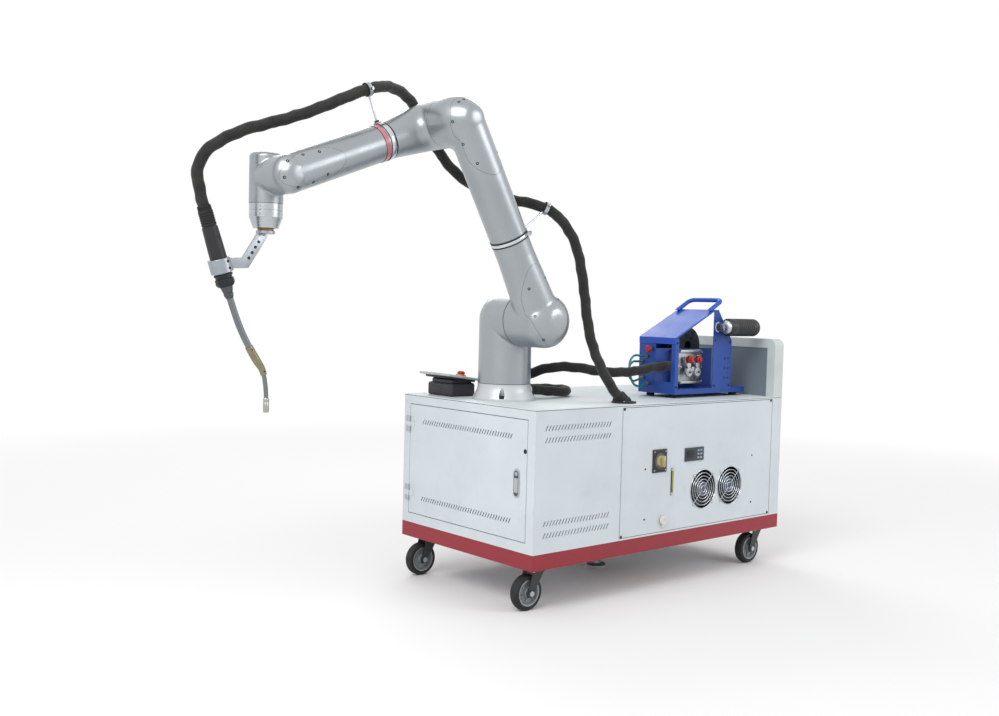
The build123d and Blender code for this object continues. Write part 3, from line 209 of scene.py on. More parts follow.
def cross_frames(line):
    """Two directions across the line at each of its points, carried along without a twist."""
    frames = []
    tangent = (line[1] - line[0]).normalized()
    across = tangent.cross(
        Vector((0, 0, 1)) if abs(tangent.z) < 0.9 else Vector((0, 1, 0))
    ).normalized()
    for i in range(len(line)):
        tangent = (line[min(i + 1, len(line) - 1)] - line[max(i - 1, 0)]).normalized()
        across = (across - tangent * across.dot(tangent)).normalized()
        frames.append((across, tangent.cross(across)))
    return frames


def sleeve_radius(run, turn, half):
    """The wrapped sleeve's radius: slanting folds, flats between them and small creases."""
    drift = 1.1 * noise.noise(Vector((run * 7, 0.3, 0)))
    fold = 0.5 + 0.5 * math.sin(2 * math.pi * run / FOLD_PITCH + turn + drift)
    second = 0.5 + 0.5 * math.sin(2 * math.pi * run / (FOLD_PITCH * 0.61) + turn - 2 * drift)
    crease = noise.noise(Vector((run * 42, math.cos(turn) * 0.9, math.sin(turn) * 0.9)))
    return half * (0.885 + 0.1 * fold**2 + 0.03 * second**2 + 0.035 * crease)


def tube_rings(line, half, radius_at=sleeve_radius):
    """The rings of a tube along a line: their points, their runs and their surface normals."""
    rings, runs, run = [], [], 0.0
    for i, (at, (across, other)) in enumerate(zip(line, cross_frames(line))):
        run += (line[i] - line[i - 1]).length if i else 0.0
        runs.append(run)
        ring = []
        for k in range(SLEEVE_SIDES):
            turn = 2 * math.pi * k / SLEEVE_SIDES
            ring.append(
                at + (across * math.cos(turn) + other * math.sin(turn)) * radius_at(run, turn, half)
            )
        rings.append(ring)
    normals = []
    for i, ring in enumerate(rings):
        before, after = rings[max(i - 1, 0)], rings[min(i + 1, len(rings) - 1)]
        row = []
        for k in range(SLEEVE_SIDES):
            round_way = ring[(k + 1) % SLEEVE_SIDES] - ring[k - 1]
            row.append(round_way.cross(after[k] - before[k]).normalized())
        normals.append(row)
    return rings, runs, normals


def sleeved_tube(name, rings, runs, normals, half):
    """A tube from its rings, with its own map along it, closed at both ends."""
    points = [point for ring in rings for point in ring]
    runs = [run for run in runs for k in range(SLEEVE_SIDES)]
    faces = []
    rings = len(rings)
    for i in range(rings - 1):
        for k in range(SLEEVE_SIDES):
            n = (k + 1) % SLEEVE_SIDES
            a, b = i * SLEEVE_SIDES, (i + 1) * SLEEVE_SIDES
            faces.append((a + k, a + n, b + n, b + k))
    faces.append(tuple(range(SLEEVE_SIDES - 1, -1, -1)))
    faces.append(tuple((rings - 1) * SLEEVE_SIDES + k for k in range(SLEEVE_SIDES)))
    mesh = bpy.data.meshes.new(name)
    mesh.from_pydata([tuple(p) for p in points], [], faces)
    layer = mesh.uv_layers.new(name="along")
    around = 2 * math.pi * half
    for face in mesh.polygons:
        wraps = len(face.vertices) == 4 and {
            v % SLEEVE_SIDES for v in face.vertices
        } == {0, SLEEVE_SIDES - 1}
        for loop in face.loop_indices:
            v = mesh.loops[loop].vertex_index
            k = v % SLEEVE_SIDES
            share = 1.0 if wraps and k == 0 else k / SLEEVE_SIDES
            layer.data[loop].uv = (share * around, runs[v])
    mesh.polygons.foreach_set("use_smooth", [len(f.vertices) == 4 for f in mesh.polygons])
    mesh.update()
    mesh.normals_split_custom_set_from_vertices([tuple(n) for row in normals for n in row])
    made = bpy.data.objects.new(name, mesh)
    bpy.context.scene.collection.objects.link(made)
    return made


hose_route = (
    (-1657.2, 140, 1334.6), (-1676.4, 140, 1393.6), (-1683, 137, 1456), (-1650, 125, 1517),
    (-1556, 101, 1574), (-1492, 85, 1598), (-1412, 64, 1626), (-1341, 40, 1656), (-1281, 22, 1686),
    (-1184.3, 0, 1736.7), (-1120.4, 0, 1759.9), (-1062, 24, 1778), (-975, 58, 1778),
    (-890, 98, 1748), (-822, 124, 1687), (-764, 122, 1604), (-712, 84, 1524), (-655, 6, 1462),
    (-606, -88, 1430), (-537.5, -178, 1410.6), (-478.8, -202, 1386), (-428, -208, 1346),
    (-378, -212, 1285), (-350, -217, 1195), (-337, -226, 1095), (-332, -238, 997),
    (-316, -252, 908), (-284, -268, 830), (-242.2, -285.2, 756.1), (-214.1, -293.2, 725.9),
)
stretches = (
    ("hose_tool", (-1603, 113, 1545.5), ("tool", "wrist")),
    ("hose_wrist", (-1376.5, 52, 1641), ("wrist", "forearm")),
    ("hose_forearm", (-1152.35, 0, 1748.29), ("forearm", "elbow")),
    ("hose_elbow", (-508.18, -190, 1398.3), ("elbow", "upper_arm")),
    ("hose_shoulder", (-343.5, -221.5, 1145), ("upper_arm", "column")),
    ("hose_column", (-214.1, -293.2, 725.9), ("column", "base")),
)
hose_line = even_steps(smooth_line("hose_line", hose_route), 0.004)
hose_rings, hose_runs, hose_normals = tube_rings(hose_line, HOSE_DIAMETER / 2)
first = 0
for node, end_place, (near_body, far_body) in stretches:
    cut_place = Vector(end_place) / 1000
    last = min(range(len(hose_line)), key=lambda i: (hose_line[i] - cut_place).length)
    cut = slice(first, last + 1)
    piece = sleeved_tube(
        node + "_sleeve", hose_rings[cut], hose_runs[cut], hose_normals[cut], HOSE_DIAMETER / 2
    )
    piece.data.materials.append(sleeve)
    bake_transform(piece)
    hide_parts(node)
    first = last

# Base cable: the robot's own power and signal lines in a plainer black sleeve, from the wire
# feeder's connector over the deck in one loop to the socket at the back of the foot.
base_route = (
    (205, -190, 825), (123, -190, 825), (30, -178, 808), (-62, -160, 801), (-152, -130, 806),
    (-238, -94, 822), (-312, -44, 822), (-362, 18, 798), (-376, 84, 758), (-348, 146, 727),
    (-282, 180, 721), (-206, 166, 721), (-152, 112, 721), (-150, 42, 721), (-202, -4, 721),
    (-270, -14, 722.6), (-335.5, 0, 731), (-397.5, 0, 731),
)
cable_sleeve = woven("braided_cable_sleeve", "0D0E0E", "242424")
cable_line = even_steps(smooth_line("base_cable_line", base_route), 0.005)
base_cable = sleeved_tube(
    "base_cable_sleeve", *tube_rings(cable_line, HOSE_DIAMETER / 2), HOSE_DIAMETER / 2
)
base_cable.data.materials.append(cable_sleeve)
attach(base_cable, "base")
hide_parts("base_cable")


# Base frame: a ring of steel channel welded at the corners with one cross member, painted
# red after welding. The floor lock under its middle is a painted casting with a round pad.
def coated(
    name, colour, roughness, metallic=0.0, coat=0.0, peel=0.25, flake=0.0, soil="6B6A66",
    soiled=0.12,
):
    """Paint or lacquer on metal: orange peel 2 to 3 mm across, slow shifts of tone, dull handled
    patches, a fine flake where the paint is a metallic one, and a little soil."""
    material, tree, shader = new_material(
        name, Metallic=metallic, Coat_Weight=coat, Coat_Roughness=0.3
    )
    place = add_node(tree, "ShaderNodeTexCoord").outputs["Object"]
    slow = add_node(
        tree, "ShaderNodeTexNoise", {"Scale": 3.0, "Detail": 5.0, "Roughness": 0.6},
        {"Vector": place},
    )
    base = linear(colour)
    low = tuple(c * 0.94 for c in base[:3]) + (1.0,)
    high = tuple(min(1.0, c * 1.04) for c in base[:3]) + (1.0,)
    tone = ramp(tree, slow.outputs["Fac"], low, high)
    if flake:
        speck = add_node(
            tree, "ShaderNodeTexNoise", {"Scale": 620.0, "Detail": 2.0}, {"Vector": place}
        )
        glint = ramp(tree, speck.outputs["Fac"], grey(1.0 - flake), grey(1.0 + flake), 0.35, 0.65)
        tone = add_node(
            tree, "ShaderNodeMix", {
                "data_type": "RGBA", "blend_type": "MULTIPLY"
            }, {6: tone, 7: glint}
        )
        tone.inputs[0].default_value = 1.0
        tone = tone.outputs[2]
    grime = add_node(
        tree, "ShaderNodeTexNoise", {
            "Scale": 9.0, "Detail": 8.0, "Roughness": 0.7
        }, {"Vector": place}
    )
    dirt = ramp(tree, grime.outputs["Fac"], grey(0.0), grey(soiled), 0.52, 0.78)
    dirty = add_node(tree, "ShaderNodeMix", {"data_type": "RGBA"}, {0: dirt, 6: tone})
    dirty.inputs[7].default_value = linear(soil)
    tree.links.new(dirty.outputs[2], shader.inputs["Base Color"])
    rub = ramp(
        tree, grime.outputs["Fac"], grey(max(0.05, roughness - 0.05)), grey(roughness + 0.09), 0.3,
        0.7,
    )
    tree.links.new(rub, shader.inputs["Roughness"])
    skin = add_node(tree, "ShaderNodeTexNoise", {"Scale": 380.0, "Detail": 2.0}, {"Vector": place})
    bump = add_node(
        tree, "ShaderNodeBump", {"Strength": peel, "Distance": 0.00012},
        {"Height": skin.outputs["Fac"]},
    )
    tree.links.new(bump.outputs["Normal"], shader.inputs["Normal"])
    return material


def dress(material, *names):
    """Gives CAD nodes a material in every slot."""
    for name in names:
        mesh = nodes[name].data
        for slot in range(max(1, len(mesh.materials))):
            if slot < len(mesh.materials):
                mesh.materials[slot] = material
            else:
                mesh.materials.append(material)


red_paint = coated("red_enamel_on_steel", "8E0C22", 0.42, coat=0.15, soil="5A2A2C", soiled=0.35)
dress(red_paint, "base_frame")
lock_paint = coated("grey_cast_iron_paint", "34373B", 0.55, soiled=0.3)
dress(lock_paint, "floor_lock")


def alone(piece):
    """Makes one piece the only one selected and the active one."""
    bpy.ops.object.select_all(action="DESELECT")
    piece.select_set(True)
    bpy.context.view_layer.objects.active = piece


def made_as(name):
    """Names the piece that an operator has just added."""
    made = bpy.context.object
    made.name = name
    made.data.name = name
    return made


def settle(piece, matrix):
    """Moves a piece made at the origin to its place, and puts the place into its mesh."""
    alone(piece)
    piece.matrix_world = matrix
    bpy.ops.object.transform_apply(location=True, rotation=True, scale=True)
    return piece


def aimed(place, axis=(0, 0, 1), facing=(1, 0, 0)):
    """The place of a piece made at the origin: its Z goes along axis and its X towards facing."""
    z = Vector(axis).normalized()
    x = Vector(facing) - z * Vector(facing).dot(z)
    if x.length < 1e-3:
        x = Vector((0, 1, 0)) - z * z.y
    x.normalize()
    y = z.cross(x)
    at = Vector(place) / 1000
    return Matrix(
        ((x.x, y.x, z.x, at.x), (x.y, y.y, z.y, at.y), (x.z, y.z, z.z, at.z), (0, 0, 0, 1))
    )


def rounded(piece, width, segments=2, angle=30):
    """Rounds the sharp edges of a piece by a bevel, in millimetres."""
    alone(piece)
    modifier = piece.modifiers.new("edges", "BEVEL")
    modifier.width = width / 1000
    modifier.segments = segments
    modifier.limit_method = "ANGLE"
    modifier.angle_limit = math.radians(angle)
    bpy.ops.object.modifier_apply(modifier=modifier.name)
    return piece


def turned(
    name, profile, place=(0, 0, 0), axis=(0, 0, 1), sides=48, hollow=False, facing=(1, 0, 0)
):
    """A turned piece: a circle drawn along its axis and in or out, ring by ring.
    The profile is radius and distance along, in millimetres. A hollow one is a closed section."""
    bpy.ops.object.select_all(action="DESELECT")
    radius, along = profile[0]
    bpy.ops.mesh.primitive_circle_add(
        vertices=sides, radius=radius / 1000, fill_type="NOTHING" if hollow else "NGON"
    )
    made = made_as(name)
    bpy.ops.object.mode_set(mode="EDIT")
    bpy.ops.mesh.select_all(action="SELECT")
    bpy.ops.transform.translate(value=(0, 0, along / 1000))
    for next_radius, next_along in list(profile[1:]) + ([profile[0]] if hollow else []):
        move = (0, 0, (next_along - along) / 1000)
        bpy.ops.mesh.extrude_region_move(TRANSFORM_OT_translate={"value": move})
        scale = next_radius / radius
        bpy.ops.transform.resize(value=(scale, scale, 1), center_override=(0, 0, next_along / 1000))
        radius, along = next_radius, next_along
    bpy.ops.mesh.select_all(action="SELECT")
    bpy.ops.mesh.remove_doubles(threshold=0.000002)
    bpy.ops.mesh.normals_make_consistent(inside=False)
    bpy.ops.object.mode_set(mode="OBJECT")
    return settle(made, aimed(place, axis, facing))


def slab(name, size, place, axis=(0, 0, 1), facing=(1, 0, 0), edge=1.0, segments=2):
    """A rectangular piece with rounded edges, its size along its own X, Y and Z."""
    bpy.ops.object.select_all(action="DESELECT")
    bpy.ops.mesh.primitive_cube_add(size=1)
    made = made_as(name)
    settle(made, Matrix.Diagonal((size[0] / 1000, size[1] / 1000, size[2] / 1000, 1)))
    rounded(made, edge, segments)
    return settle(made, aimed(place, axis, facing))


def joined(name, pieces):
    """Several pieces made one mesh."""
    alone(pieces[0])
    for piece in pieces[1:]:
        piece.select_set(True)
    if len(pieces) > 1:
        bpy.ops.object.join()
    return made_as(name)


def copied(piece, name, matrix):
    """A copy of a finished piece with its own mesh, moved by a matrix."""
    twin = piece.copy()
    twin.data = piece.data.copy()
    twin.name = name
    bpy.context.scene.collection.objects.link(twin)
    return settle(twin, matrix)


def given(piece, material, body=None, stands_for=(), angle=32):
    """Gives a piece its material and smooth shading, and, when finished, its body, hiding the nodes
    that it stands for.
    """
    piece.data.materials.clear()
    piece.data.materials.append(material)
    alone(piece)
    bpy.ops.object.shade_smooth_by_angle(angle=math.radians(angle))
    if body:
        fitted(piece, body, stands_for)
    return piece


def fitted(piece, body, stands_for=()):
    """Puts a finished piece on its body and hides the nodes that it stands for."""
    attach(piece, body)
    if stands_for:
        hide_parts(*stands_for)


def moulded(
    name, colour, roughness=0.5, grain=520.0, depth=0.3, sheen=0.0, metallic=0.0, vary=0.12
):
    """Moulded plastic or rubber: a fine matt grain, with slow changes of tone and gloss."""
    material, tree, shader = new_material(name, Metallic=metallic, Sheen_Weight=sheen)
    place = add_node(tree, "ShaderNodeTexCoord").outputs["Object"]
    slow = add_node(
        tree, "ShaderNodeTexNoise", {"Scale": 26.0, "Detail": 5.0, "Roughness": 0.6},
        {"Vector": place},
    )
    base = linear(colour)
    low = tuple(c * (1 - vary) for c in base[:3]) + (1.0,)
    high = tuple(min(1.0, c * (1 + vary)) for c in base[:3]) + (1.0,)
    tree.links.new(ramp(tree, slow.outputs["Fac"], low, high), shader.inputs["Base Color"])
    rub = ramp(tree, slow.outputs["Fac"], grey(roughness + 0.06), grey(max(0.04, roughness - 0.06)))
    tree.links.new(rub, shader.inputs["Roughness"])
    skin = add_node(tree, "ShaderNodeTexNoise", {"Scale": grain, "Detail": 3.0}, {"Vector": place})
    bump = add_node(
        tree, "ShaderNodeBump", {"Strength": depth, "Distance": 0.0002},
        {"Height": skin.outputs["Fac"]},
    )
    tree.links.new(bump.outputs["Normal"], shader.inputs["Normal"])
    return material


def bright_metal(
    name, colour, roughness, scratch=240.0, stretch=(1, 1, 14), depth=0.2, tarnish=0.1
):
    """Machined or plated metal: fine tool marks in one direction, and faint tarnish."""
    material, tree, shader = new_material(name, Metallic=1.0)
    place = add_node(tree, "ShaderNodeTexCoord").outputs["Object"]
    marks_at = add_node(tree, "ShaderNodeMapping", {"Scale": stretch}, {"Vector": place})
    marks = add_node(
        tree, "ShaderNodeTexNoise", {"Scale": scratch, "Detail": 4.0}, {
            "Vector": marks_at.outputs["Vector"]
        }
    )
    slow = add_node(
        tree, "ShaderNodeTexNoise", {"Scale": 18.0, "Detail": 6.0, "Roughness": 0.65},
        {"Vector": place},
    )
    base = linear(colour)
    low = tuple(c * (1 - tarnish) for c in base[:3]) + (1.0,)
    tree.links.new(
        ramp(tree, slow.outputs["Fac"], low, base, 0.32, 0.6), shader.inputs["Base Color"]
    )
    rub = ramp(tree, marks.outputs["Fac"], grey(max(0.05, roughness - 0.08)), grey(roughness + 0.1))
    tree.links.new(rub, shader.inputs["Roughness"])
    bump = add_node(
        tree, "ShaderNodeBump", {"Strength": depth, "Distance": 0.0001},
        {"Height": marks.outputs["Fac"]},
    )
    tree.links.new(bump.outputs["Normal"], shader.inputs["Normal"])
    return material


zinc = bright_metal("zinc_plated_steel", "B9BDC2", 0.34)
# Blackened steel also stands for the shade inside small holes, which are drawn as dark discs:
# painted shade.
dark_steel_and_hole_shade = bright_metal("blackened_steel_and_hole_shade", "3A3D42", 0.42)
black_plastic = moulded("black_moulded_plastic", "1B1C1E", 0.45)
rubber = moulded("black_rubber", "17181A", 0.72, grain=300.0, depth=0.4)

# Floor lock's pad: a sole moulded in pale polyamide that presses on the floor, with a zinc
# plated check nut on the stem above it.
lock_pad = turned(
    "floor_lock_sole", [(39, 0.2), (40, 2), (40, 9), (38.5, 11), (38.4, 0.4)], hollow=True, sides=64
)
lock_nut = turned("floor_lock_nut", [(20, 17), (21, 18), (21, 28), (20, 29), (16.5, 29.3)], sides=6)
lock_pad = given(lock_pad, moulded("pale_polyamide", "C9CCC8", 0.55), "base")
given(lock_nut, zinc, "base")

# Castors: pressed steel forks in black lacquer that swivel on a ball race, and wheels of black
# rubber tyre on a grey core with a bearing and a bolted axle.
WHEEL_RADIUS = 62.5
NEAR_SIDE = (0, -1, 0)  # the way out of the panelled long side
castor_paint = coated("black_lacquer_on_steel", "202326", 0.42, coat=0.15, soiled=0.25)
wheel_core = coated("grey_wheel_core_paint", "7C8287", 0.45, soiled=0.3)
dress(castor_paint, "castor_plates")


def wheel_at(name, x, y):
    """One castor wheel: tyre, dished core, bearing caps."""
    tyre_section = [
        (45, -17), (54, -17.6), (58.5, -16), (61.4, -11), (62.5, -5), (62.5, 5), (61.4, 11),
        (58.5, 16), (54, 17.6), (45, 17),
    ]
    tyre = given(turned(name + "_tyre", tyre_section, hollow=True, sides=96), rubber)
    core_section = [
        (6.6, -15.8), (15, -16.4), (17, -14.6), (18, -8), (38, -7), (40.5, -15.5), (45.4, -16.6),
        (45.4, 16.6), (40.5, 15.5), (38, 7), (18, 8), (17, 14.6), (15, 16.4), (6.6, 15.8),
    ]
    core = given(turned(name + "_core", core_section, hollow=True, sides=72), wheel_core)
    rim = given(
        turned(
            name + "_rim", [(43.6, -17.2), (45.8, -17.4), (45.8, 17.4), (43.6, 17.2)], hollow=True,
            sides=72,
        ), zinc
    )
    ribs = []
    for face in (-1, 1):
        for step in range(6):
            turn = math.radians(60 * step + 15)
            rib = slab(
                name + "_rib",
                (21, 4.5, 6),
                (28 * math.cos(turn), 28 * math.sin(turn), face * 9.5),
                facing=(math.cos(turn), math.sin(turn), 0),
                edge=1.2,
            )
            ribs.append(given(rib, wheel_core))
    wheel = joined(name, [tyre, core, rim] + ribs)
    return settle(wheel, aimed((x, y, WHEEL_RADIUS), NEAR_SIDE))


corners = (("door_end", -625), ("far_end", 625))
first_wheel = None
for end_name, x in corners:
    for side_name, y in (("near", -305), ("back", 305)):
        axle_x = x - 36
        name = "wheel_" + end_name + "_" + side_name
        if first_wheel is None:
            wheel = first_wheel = wheel_at(name, axle_x, y)
            first_place = Vector((axle_x, y, 0)) / 1000
        else:
            wheel = copied(
                first_wheel, name, Matrix.Translation(Vector((axle_x, y, 0)) / 1000 - first_place)
            )
            wheel.data.name = name
        body = "castor_wheel_" + end_name + "_" + side_name
        fitted(wheel, body, (body,))
        fork = "castor_fork_" + end_name + "_" + side_name
        dress(castor_paint, fork)
        hardware = []
        for side in (-1, 1):
            nut = turned(
                name + "_nut", [(9.5, 0), (10.4, 0.8), (10.4, 7), (9.4, 8), (5, 8.2)], sides=6
            )
            settle(nut, aimed((axle_x, y + side * 26.2, WHEEL_RADIUS), (0, side, 0)))
            hardware.append(nut)
        race = turned(
            name + "_race", [
                (27, 0), (31, 1), (32, 3), (31, 5.6), (27, 6.6)
            ], (x, y, 137.6), hollow=True
        )
        hardware.append(race)
        hardware = given(joined("castor_hardware_" + end_name + "_" + side_name, hardware), zinc)
        fitted(hardware, fork)
        bolts = []
        for across in (-1, 1):
            for deep in (-1, 1):
                bolt = turned(
                    name + "_bolt",
                    [(6.6, 0), (7.2, -0.6), (7.2, -4.4), (6.6, -5)],
                    (x + 39 * across, y + 39 * deep, 144.9),
                    sides=6,
                )
                bolts.append(bolt)
        bolts = given(joined("castor_bolts_" + end_name + "_" + side_name, bolts), zinc)
        fitted(bolts, "base")


# Cabinet: folded sheet steel in a pale powder coat, with rows of leaning vents punched through
# the long side. The service panel is a separate sheet in the same coat, held by black screws.
cabinet_coat = coated("pale_powder_coated_sheet", "CBD3D8", 0.46, coat=0.05, peel=0.4, soiled=0.1)
dress(cabinet_coat, "cabinet_shell", "service_panel")


def strip_round(name, x0, x1, z0, z1, y, width, thick, edge=0.4):
    """Four thin strips round a rectangle on the long side."""
    middle_x, middle_z = (x0 + x1) / 2, (z0 + z1) / 2
    long_x, long_z = x1 - x0, z1 - z0
    sides = [
        slab(name, (long_x + width, thick, width), (middle_x, y, z0), edge=edge, segments=1),
        slab(name, (long_x + width, thick, width), (middle_x, y, z1), edge=edge, segments=1),
        slab(name, (width, thick, long_z - width), (x0, y, middle_z), edge=edge, segments=1),
        slab(name, (width, thick, long_z - width), (x1, y, middle_z), edge=edge, segments=1),
    ]
    return joined(name, sides)


PANEL_FACE = -375
# Painted shadow: dark strips fill the gap round the service panel and stand for the shade inside
# it.
shadow = moulded("painted_joint_shadow", "26282B", 0.8)
panel_joint = strip_round("service_panel_joint", -273, 635, 214, 690, PANEL_FACE + 0.6, 2.6, 1.4)
given(panel_joint, shadow, "base")


def screw_head(name, place, axis, radius, height, facing=(1, 0, 0)):
    """A domed screw head with a hexagon socket, seated on a surface."""
    shell = [
        (radius, 0), (radius, height * 0.45), (radius * 0.86, height * 0.82),
        (radius * 0.62, height), (radius * 0.46, height), (radius * 0.44, height * 0.35),
        (radius * 0.1, height * 0.3),
    ]
    return turned(name, shell, place, axis, sides=18, facing=facing)


panel_screws = []
for x, z in ((-265, 685), (624, 685), (-265, 219), (624, 219)):
    panel_screws.append(screw_head("panel_screw", (x, PANEL_FACE, z), NEAR_SIDE, 5.2, 2.6))
for x, z in ((-143, 458), (-141, 270), (506, 466), (509, 274)):
    panel_screws.append(screw_head("panel_screw", (x, PANEL_FACE, z), NEAR_SIDE, 3.6, 1.8))
given(joined("service_panel_screws", panel_screws), dark_steel_and_hole_shade, "base")

# Fans: axial fans moulded in black nylon with a plain grey hub, each behind a guard of six
# chromed wire rings on four spokes, held by a screw at the end of each spoke.
FAN_RADIUS = 76


def spoke_way(degrees):
    """A direction in an upright plane along the cabinet, turned from its length."""
    turn = math.radians(degrees)
    return Vector((math.cos(turn), 0, math.sin(turn)))


fan_black = moulded("black_glass_filled_nylon", "121315", 0.42)
fan_hub_grey = moulded("grey_fan_hub", "5D6878", 0.5)
guard_chrome = bright_metal("chromed_wire", "C9CED4", 0.22, stretch=(1, 1, 1))
for number, (x, z) in enumerate(((197, 355), (363, 355))):
    housing_section = [(77, 0), (79.5, 0.2), (79.5, 31), (77, 31.6), (75.4, 26), (75.4, 5)]
    housing = turned(
        "fan_housing", housing_section, (x, PANEL_FACE + 2.4, z), (0, 1, 0), hollow=True, sides=96
    )
    corner_blocks = [given(housing, fan_black)]
    for sx in (-1, 1):
        for sz in (-1, 1):
            corner = slab(
                "fan_corner", (20, 20, 29), (x + 69 * sx, PANEL_FACE + 17, z + 69 * sz), (0, 1, 0),
                edge=3,
            )
            corner_blocks.append(given(corner, fan_black))
    for turn in (0, 90):
        strut = slab(
            "fan_strut",
            (152, 9, 3.6), (x, PANEL_FACE + 31.6, z), (0, 1, 0),
            facing=spoke_way(turn),
            edge=1,
        )
        corner_blocks.append(given(strut, fan_black))
    carrier = turned(
        "fan_carrier", [(31, 0), (31.5, 1), (31.5, 3), (30, 4)], (x, PANEL_FACE + 29.4, z),
        (0, 1, 0),
    )
    corner_blocks.append(given(carrier, fan_black))
    wires = []
    for ring in range(6):
        radius = FAN_RADIUS * (ring + 1) / 6
        circle = [
            (
                radius + 1.3 * math.cos(math.radians(a)), 1.3 * math.sin(math.radians(a))
            ) for a in range(0, 360, 45)
        ]
        wires.append(
            turned("fan_wire", circle, (x, PANEL_FACE - 1.7, z), (0, 1, 0), hollow=True, sides=72)
        )
    for spoke in range(4):
        away = spoke_way(45 + 90 * spoke)
        at = Vector((x, PANEL_FACE - 0.7, z)) + away * 12
        wires.append(
            turned("fan_spoke", [(1.1, 0), (1.3, 0.4), (1.3, 67), (1.1, 67.5)], at, away, sides=12)
        )
        foot = Vector((x, PANEL_FACE - 0.9, z)) + away * 81
        wires.append(
            turned(
                "fan_eye", [(2.4, -0.9), (5.4, -0.9), (5.4, 0.9), (2.4, 0.9)], foot, (0, 1, 0),
                hollow=True, sides=24,
            )
        )
        wires.append(screw_head("fan_screw", foot + Vector((0, -0.9, 0)), NEAR_SIDE, 3.9, 2.2))
    wires = given(joined("fan_wires", wires), guard_chrome)
    fan = joined("fan_and_guard_" + str(number + 1), corner_blocks + [wires])
    fitted(fan, "base", ("fan_guards",))

    # the rotor: a drum hub with seven swept and twisted blades
    hub = turned(
        "fan_hub",
        [(26, 26), (30.6, 25.6), (31, 24), (31, 3.4), (30, 1.6), (27.6, 1), (26.8, 1.5), (5, 1.7)],
        (x, PANEL_FACE + 2, z), (0, 1, 0),
        sides=64,
    )
    hub = given(hub, fan_hub_grey)
    blades = []
    for step in range(7):
        bpy.ops.object.select_all(action="DESELECT")
        bpy.ops.mesh.primitive_grid_add(x_subdivisions=8, y_subdivisions=6, size=1)
        blade = made_as("fan_blade")
        for point in blade.data.vertices:
            span = 0.5 + point.co.x
            chord = point.co.y
            radius = 30 + 41.5 * span
            twist = math.radians(52 - 22 * span)
            sweep = 0.34 * span**1.4
            half = 17 + 7 * span
            round_turn = sweep + chord * 2 * half * math.cos(twist) / radius
            deep = 13.5 + chord * 2 * min(
                half, 11.2 / math.sin(twist)
            ) * math.sin(twist) + 1.5 * (4 * chord**2 - 1)
            point.co = (
                radius * math.cos(round_turn) / 1000,
                radius * math.sin(round_turn) / 1000,
                min(25.5, max(1.6, deep)) / 1000,
            )
        alone(blade)
        thicker = blade.modifiers.new("wall", "SOLIDIFY")
        thicker.thickness = 0.0018
        thicker.offset = 0
        bpy.ops.object.modifier_apply(modifier=thicker.name)
        settle(blade, aimed((x, PANEL_FACE + 2, z), (0, 1, 0), spoke_way(360 * step / 7)))
        blades.append(given(blade, fan_black, angle=50))
    rotor = joined("fan_rotor_blades_" + str(number + 1), [hub] + blades)
    fitted(rotor, "fan_" + str(number + 1), ("fan_rotor_" + str(number + 1),))

# Power switch: a black square plate with a raised rim and screws, and an olive knob with a
# grip across it and a white pointer line. It turns through a quarter.
SWITCH_X, SWITCH_Z = -66, 484
switch_plate = slab(
    "switch_face", (78, 87, 4.8), (SWITCH_X, PANEL_FACE - 2.4, SWITCH_Z), NEAR_SIDE, edge=1.6,
    segments=3,
)
given(switch_plate, black_plastic)
switch_rim = turned(
    "switch_collar", [(24, 0), (29, 0), (29, 2), (27, 3), (24, 3)],
    (SWITCH_X, PANEL_FACE - 4.7, SWITCH_Z), NEAR_SIDE, hollow=True,
)
given(switch_rim, moulded("grey_switch_collar", "5B5E60", 0.5))
switch_fixings = [
    screw_head(
        "switch_screw", (SWITCH_X + a, PANEL_FACE - 4.8, SWITCH_Z + b), NEAR_SIDE, 3, 1.4
    ) for a in (-31, 31) for b in (-35, 35)
]
switch_fixings = given(joined("switch_fixings", switch_fixings), zinc)
switch_body = joined("switch_body", [switch_plate, switch_rim, switch_fixings])
fitted(switch_body, "base", ("switch_plate",))
knob_olive = moulded("olive_knob_plastic", "A79C6E", 0.48)
knob_base = turned(
    "knob_base", [(21.6, 0), (22, 0.6), (22, 6), (20, 9.6), (17, 10.2), (4, 10.4)],
    (SWITCH_X, PANEL_FACE - 5.3, SWITCH_Z), NEAR_SIDE,
)
knob_grip = slab(
    "knob_grip", (12, 42, 14), (SWITCH_X, PANEL_FACE - 22, SWITCH_Z), NEAR_SIDE, edge=2.6,
    segments=3,
)
knob = given(joined("knob", [knob_base, knob_grip]), knob_olive)
pointer = given(
    slab(
        "knob_line", (1.8, 14, 0.8), (SWITCH_X, PANEL_FACE - 29, SWITCH_Z + 12), NEAR_SIDE, edge=0.3
    ), moulded("white_plastic_line", "E6E6E0", 0.5)
)
knob = joined("switch_knob_turning", [knob, pointer])
fitted(knob, "power_switch", ("switch_knob",))

# Temperature display: a dark moulded case snapped into the panel, with a window of smoked
# plastic that shines, and six pale keys beside it.
case_dark = moulded("dark_blue_grey_case", "2B333D", 0.42)
case = slab(
    "display_case", (111, 52, 5.2), (135, PANEL_FACE - 2.6, 496), NEAR_SIDE, edge=1.8, segments=3
)
given(case, case_dark)
window = slab("display_window", (56, 30, 0.8), (114, PANEL_FACE - 5.4, 498), NEAR_SIDE, edge=0.3)
given(window, moulded("smoked_window", "07090C", 0.12, depth=0.02))
keys = []
for column in range(2):
    for row in range(3):
        key = slab(
            "display_key", (11, 8, 1), (156 + 17 * column, PANEL_FACE - 5.4, 482 + 14 * row),
            NEAR_SIDE, edge=0.5,
        )
        keys.append(key)
keys = given(joined("display_keys", keys), moulded("pale_key_plastic", "8F9BA6", 0.5))
fitted(joined("display_unit", [case, window, keys]), "base", ("display",))

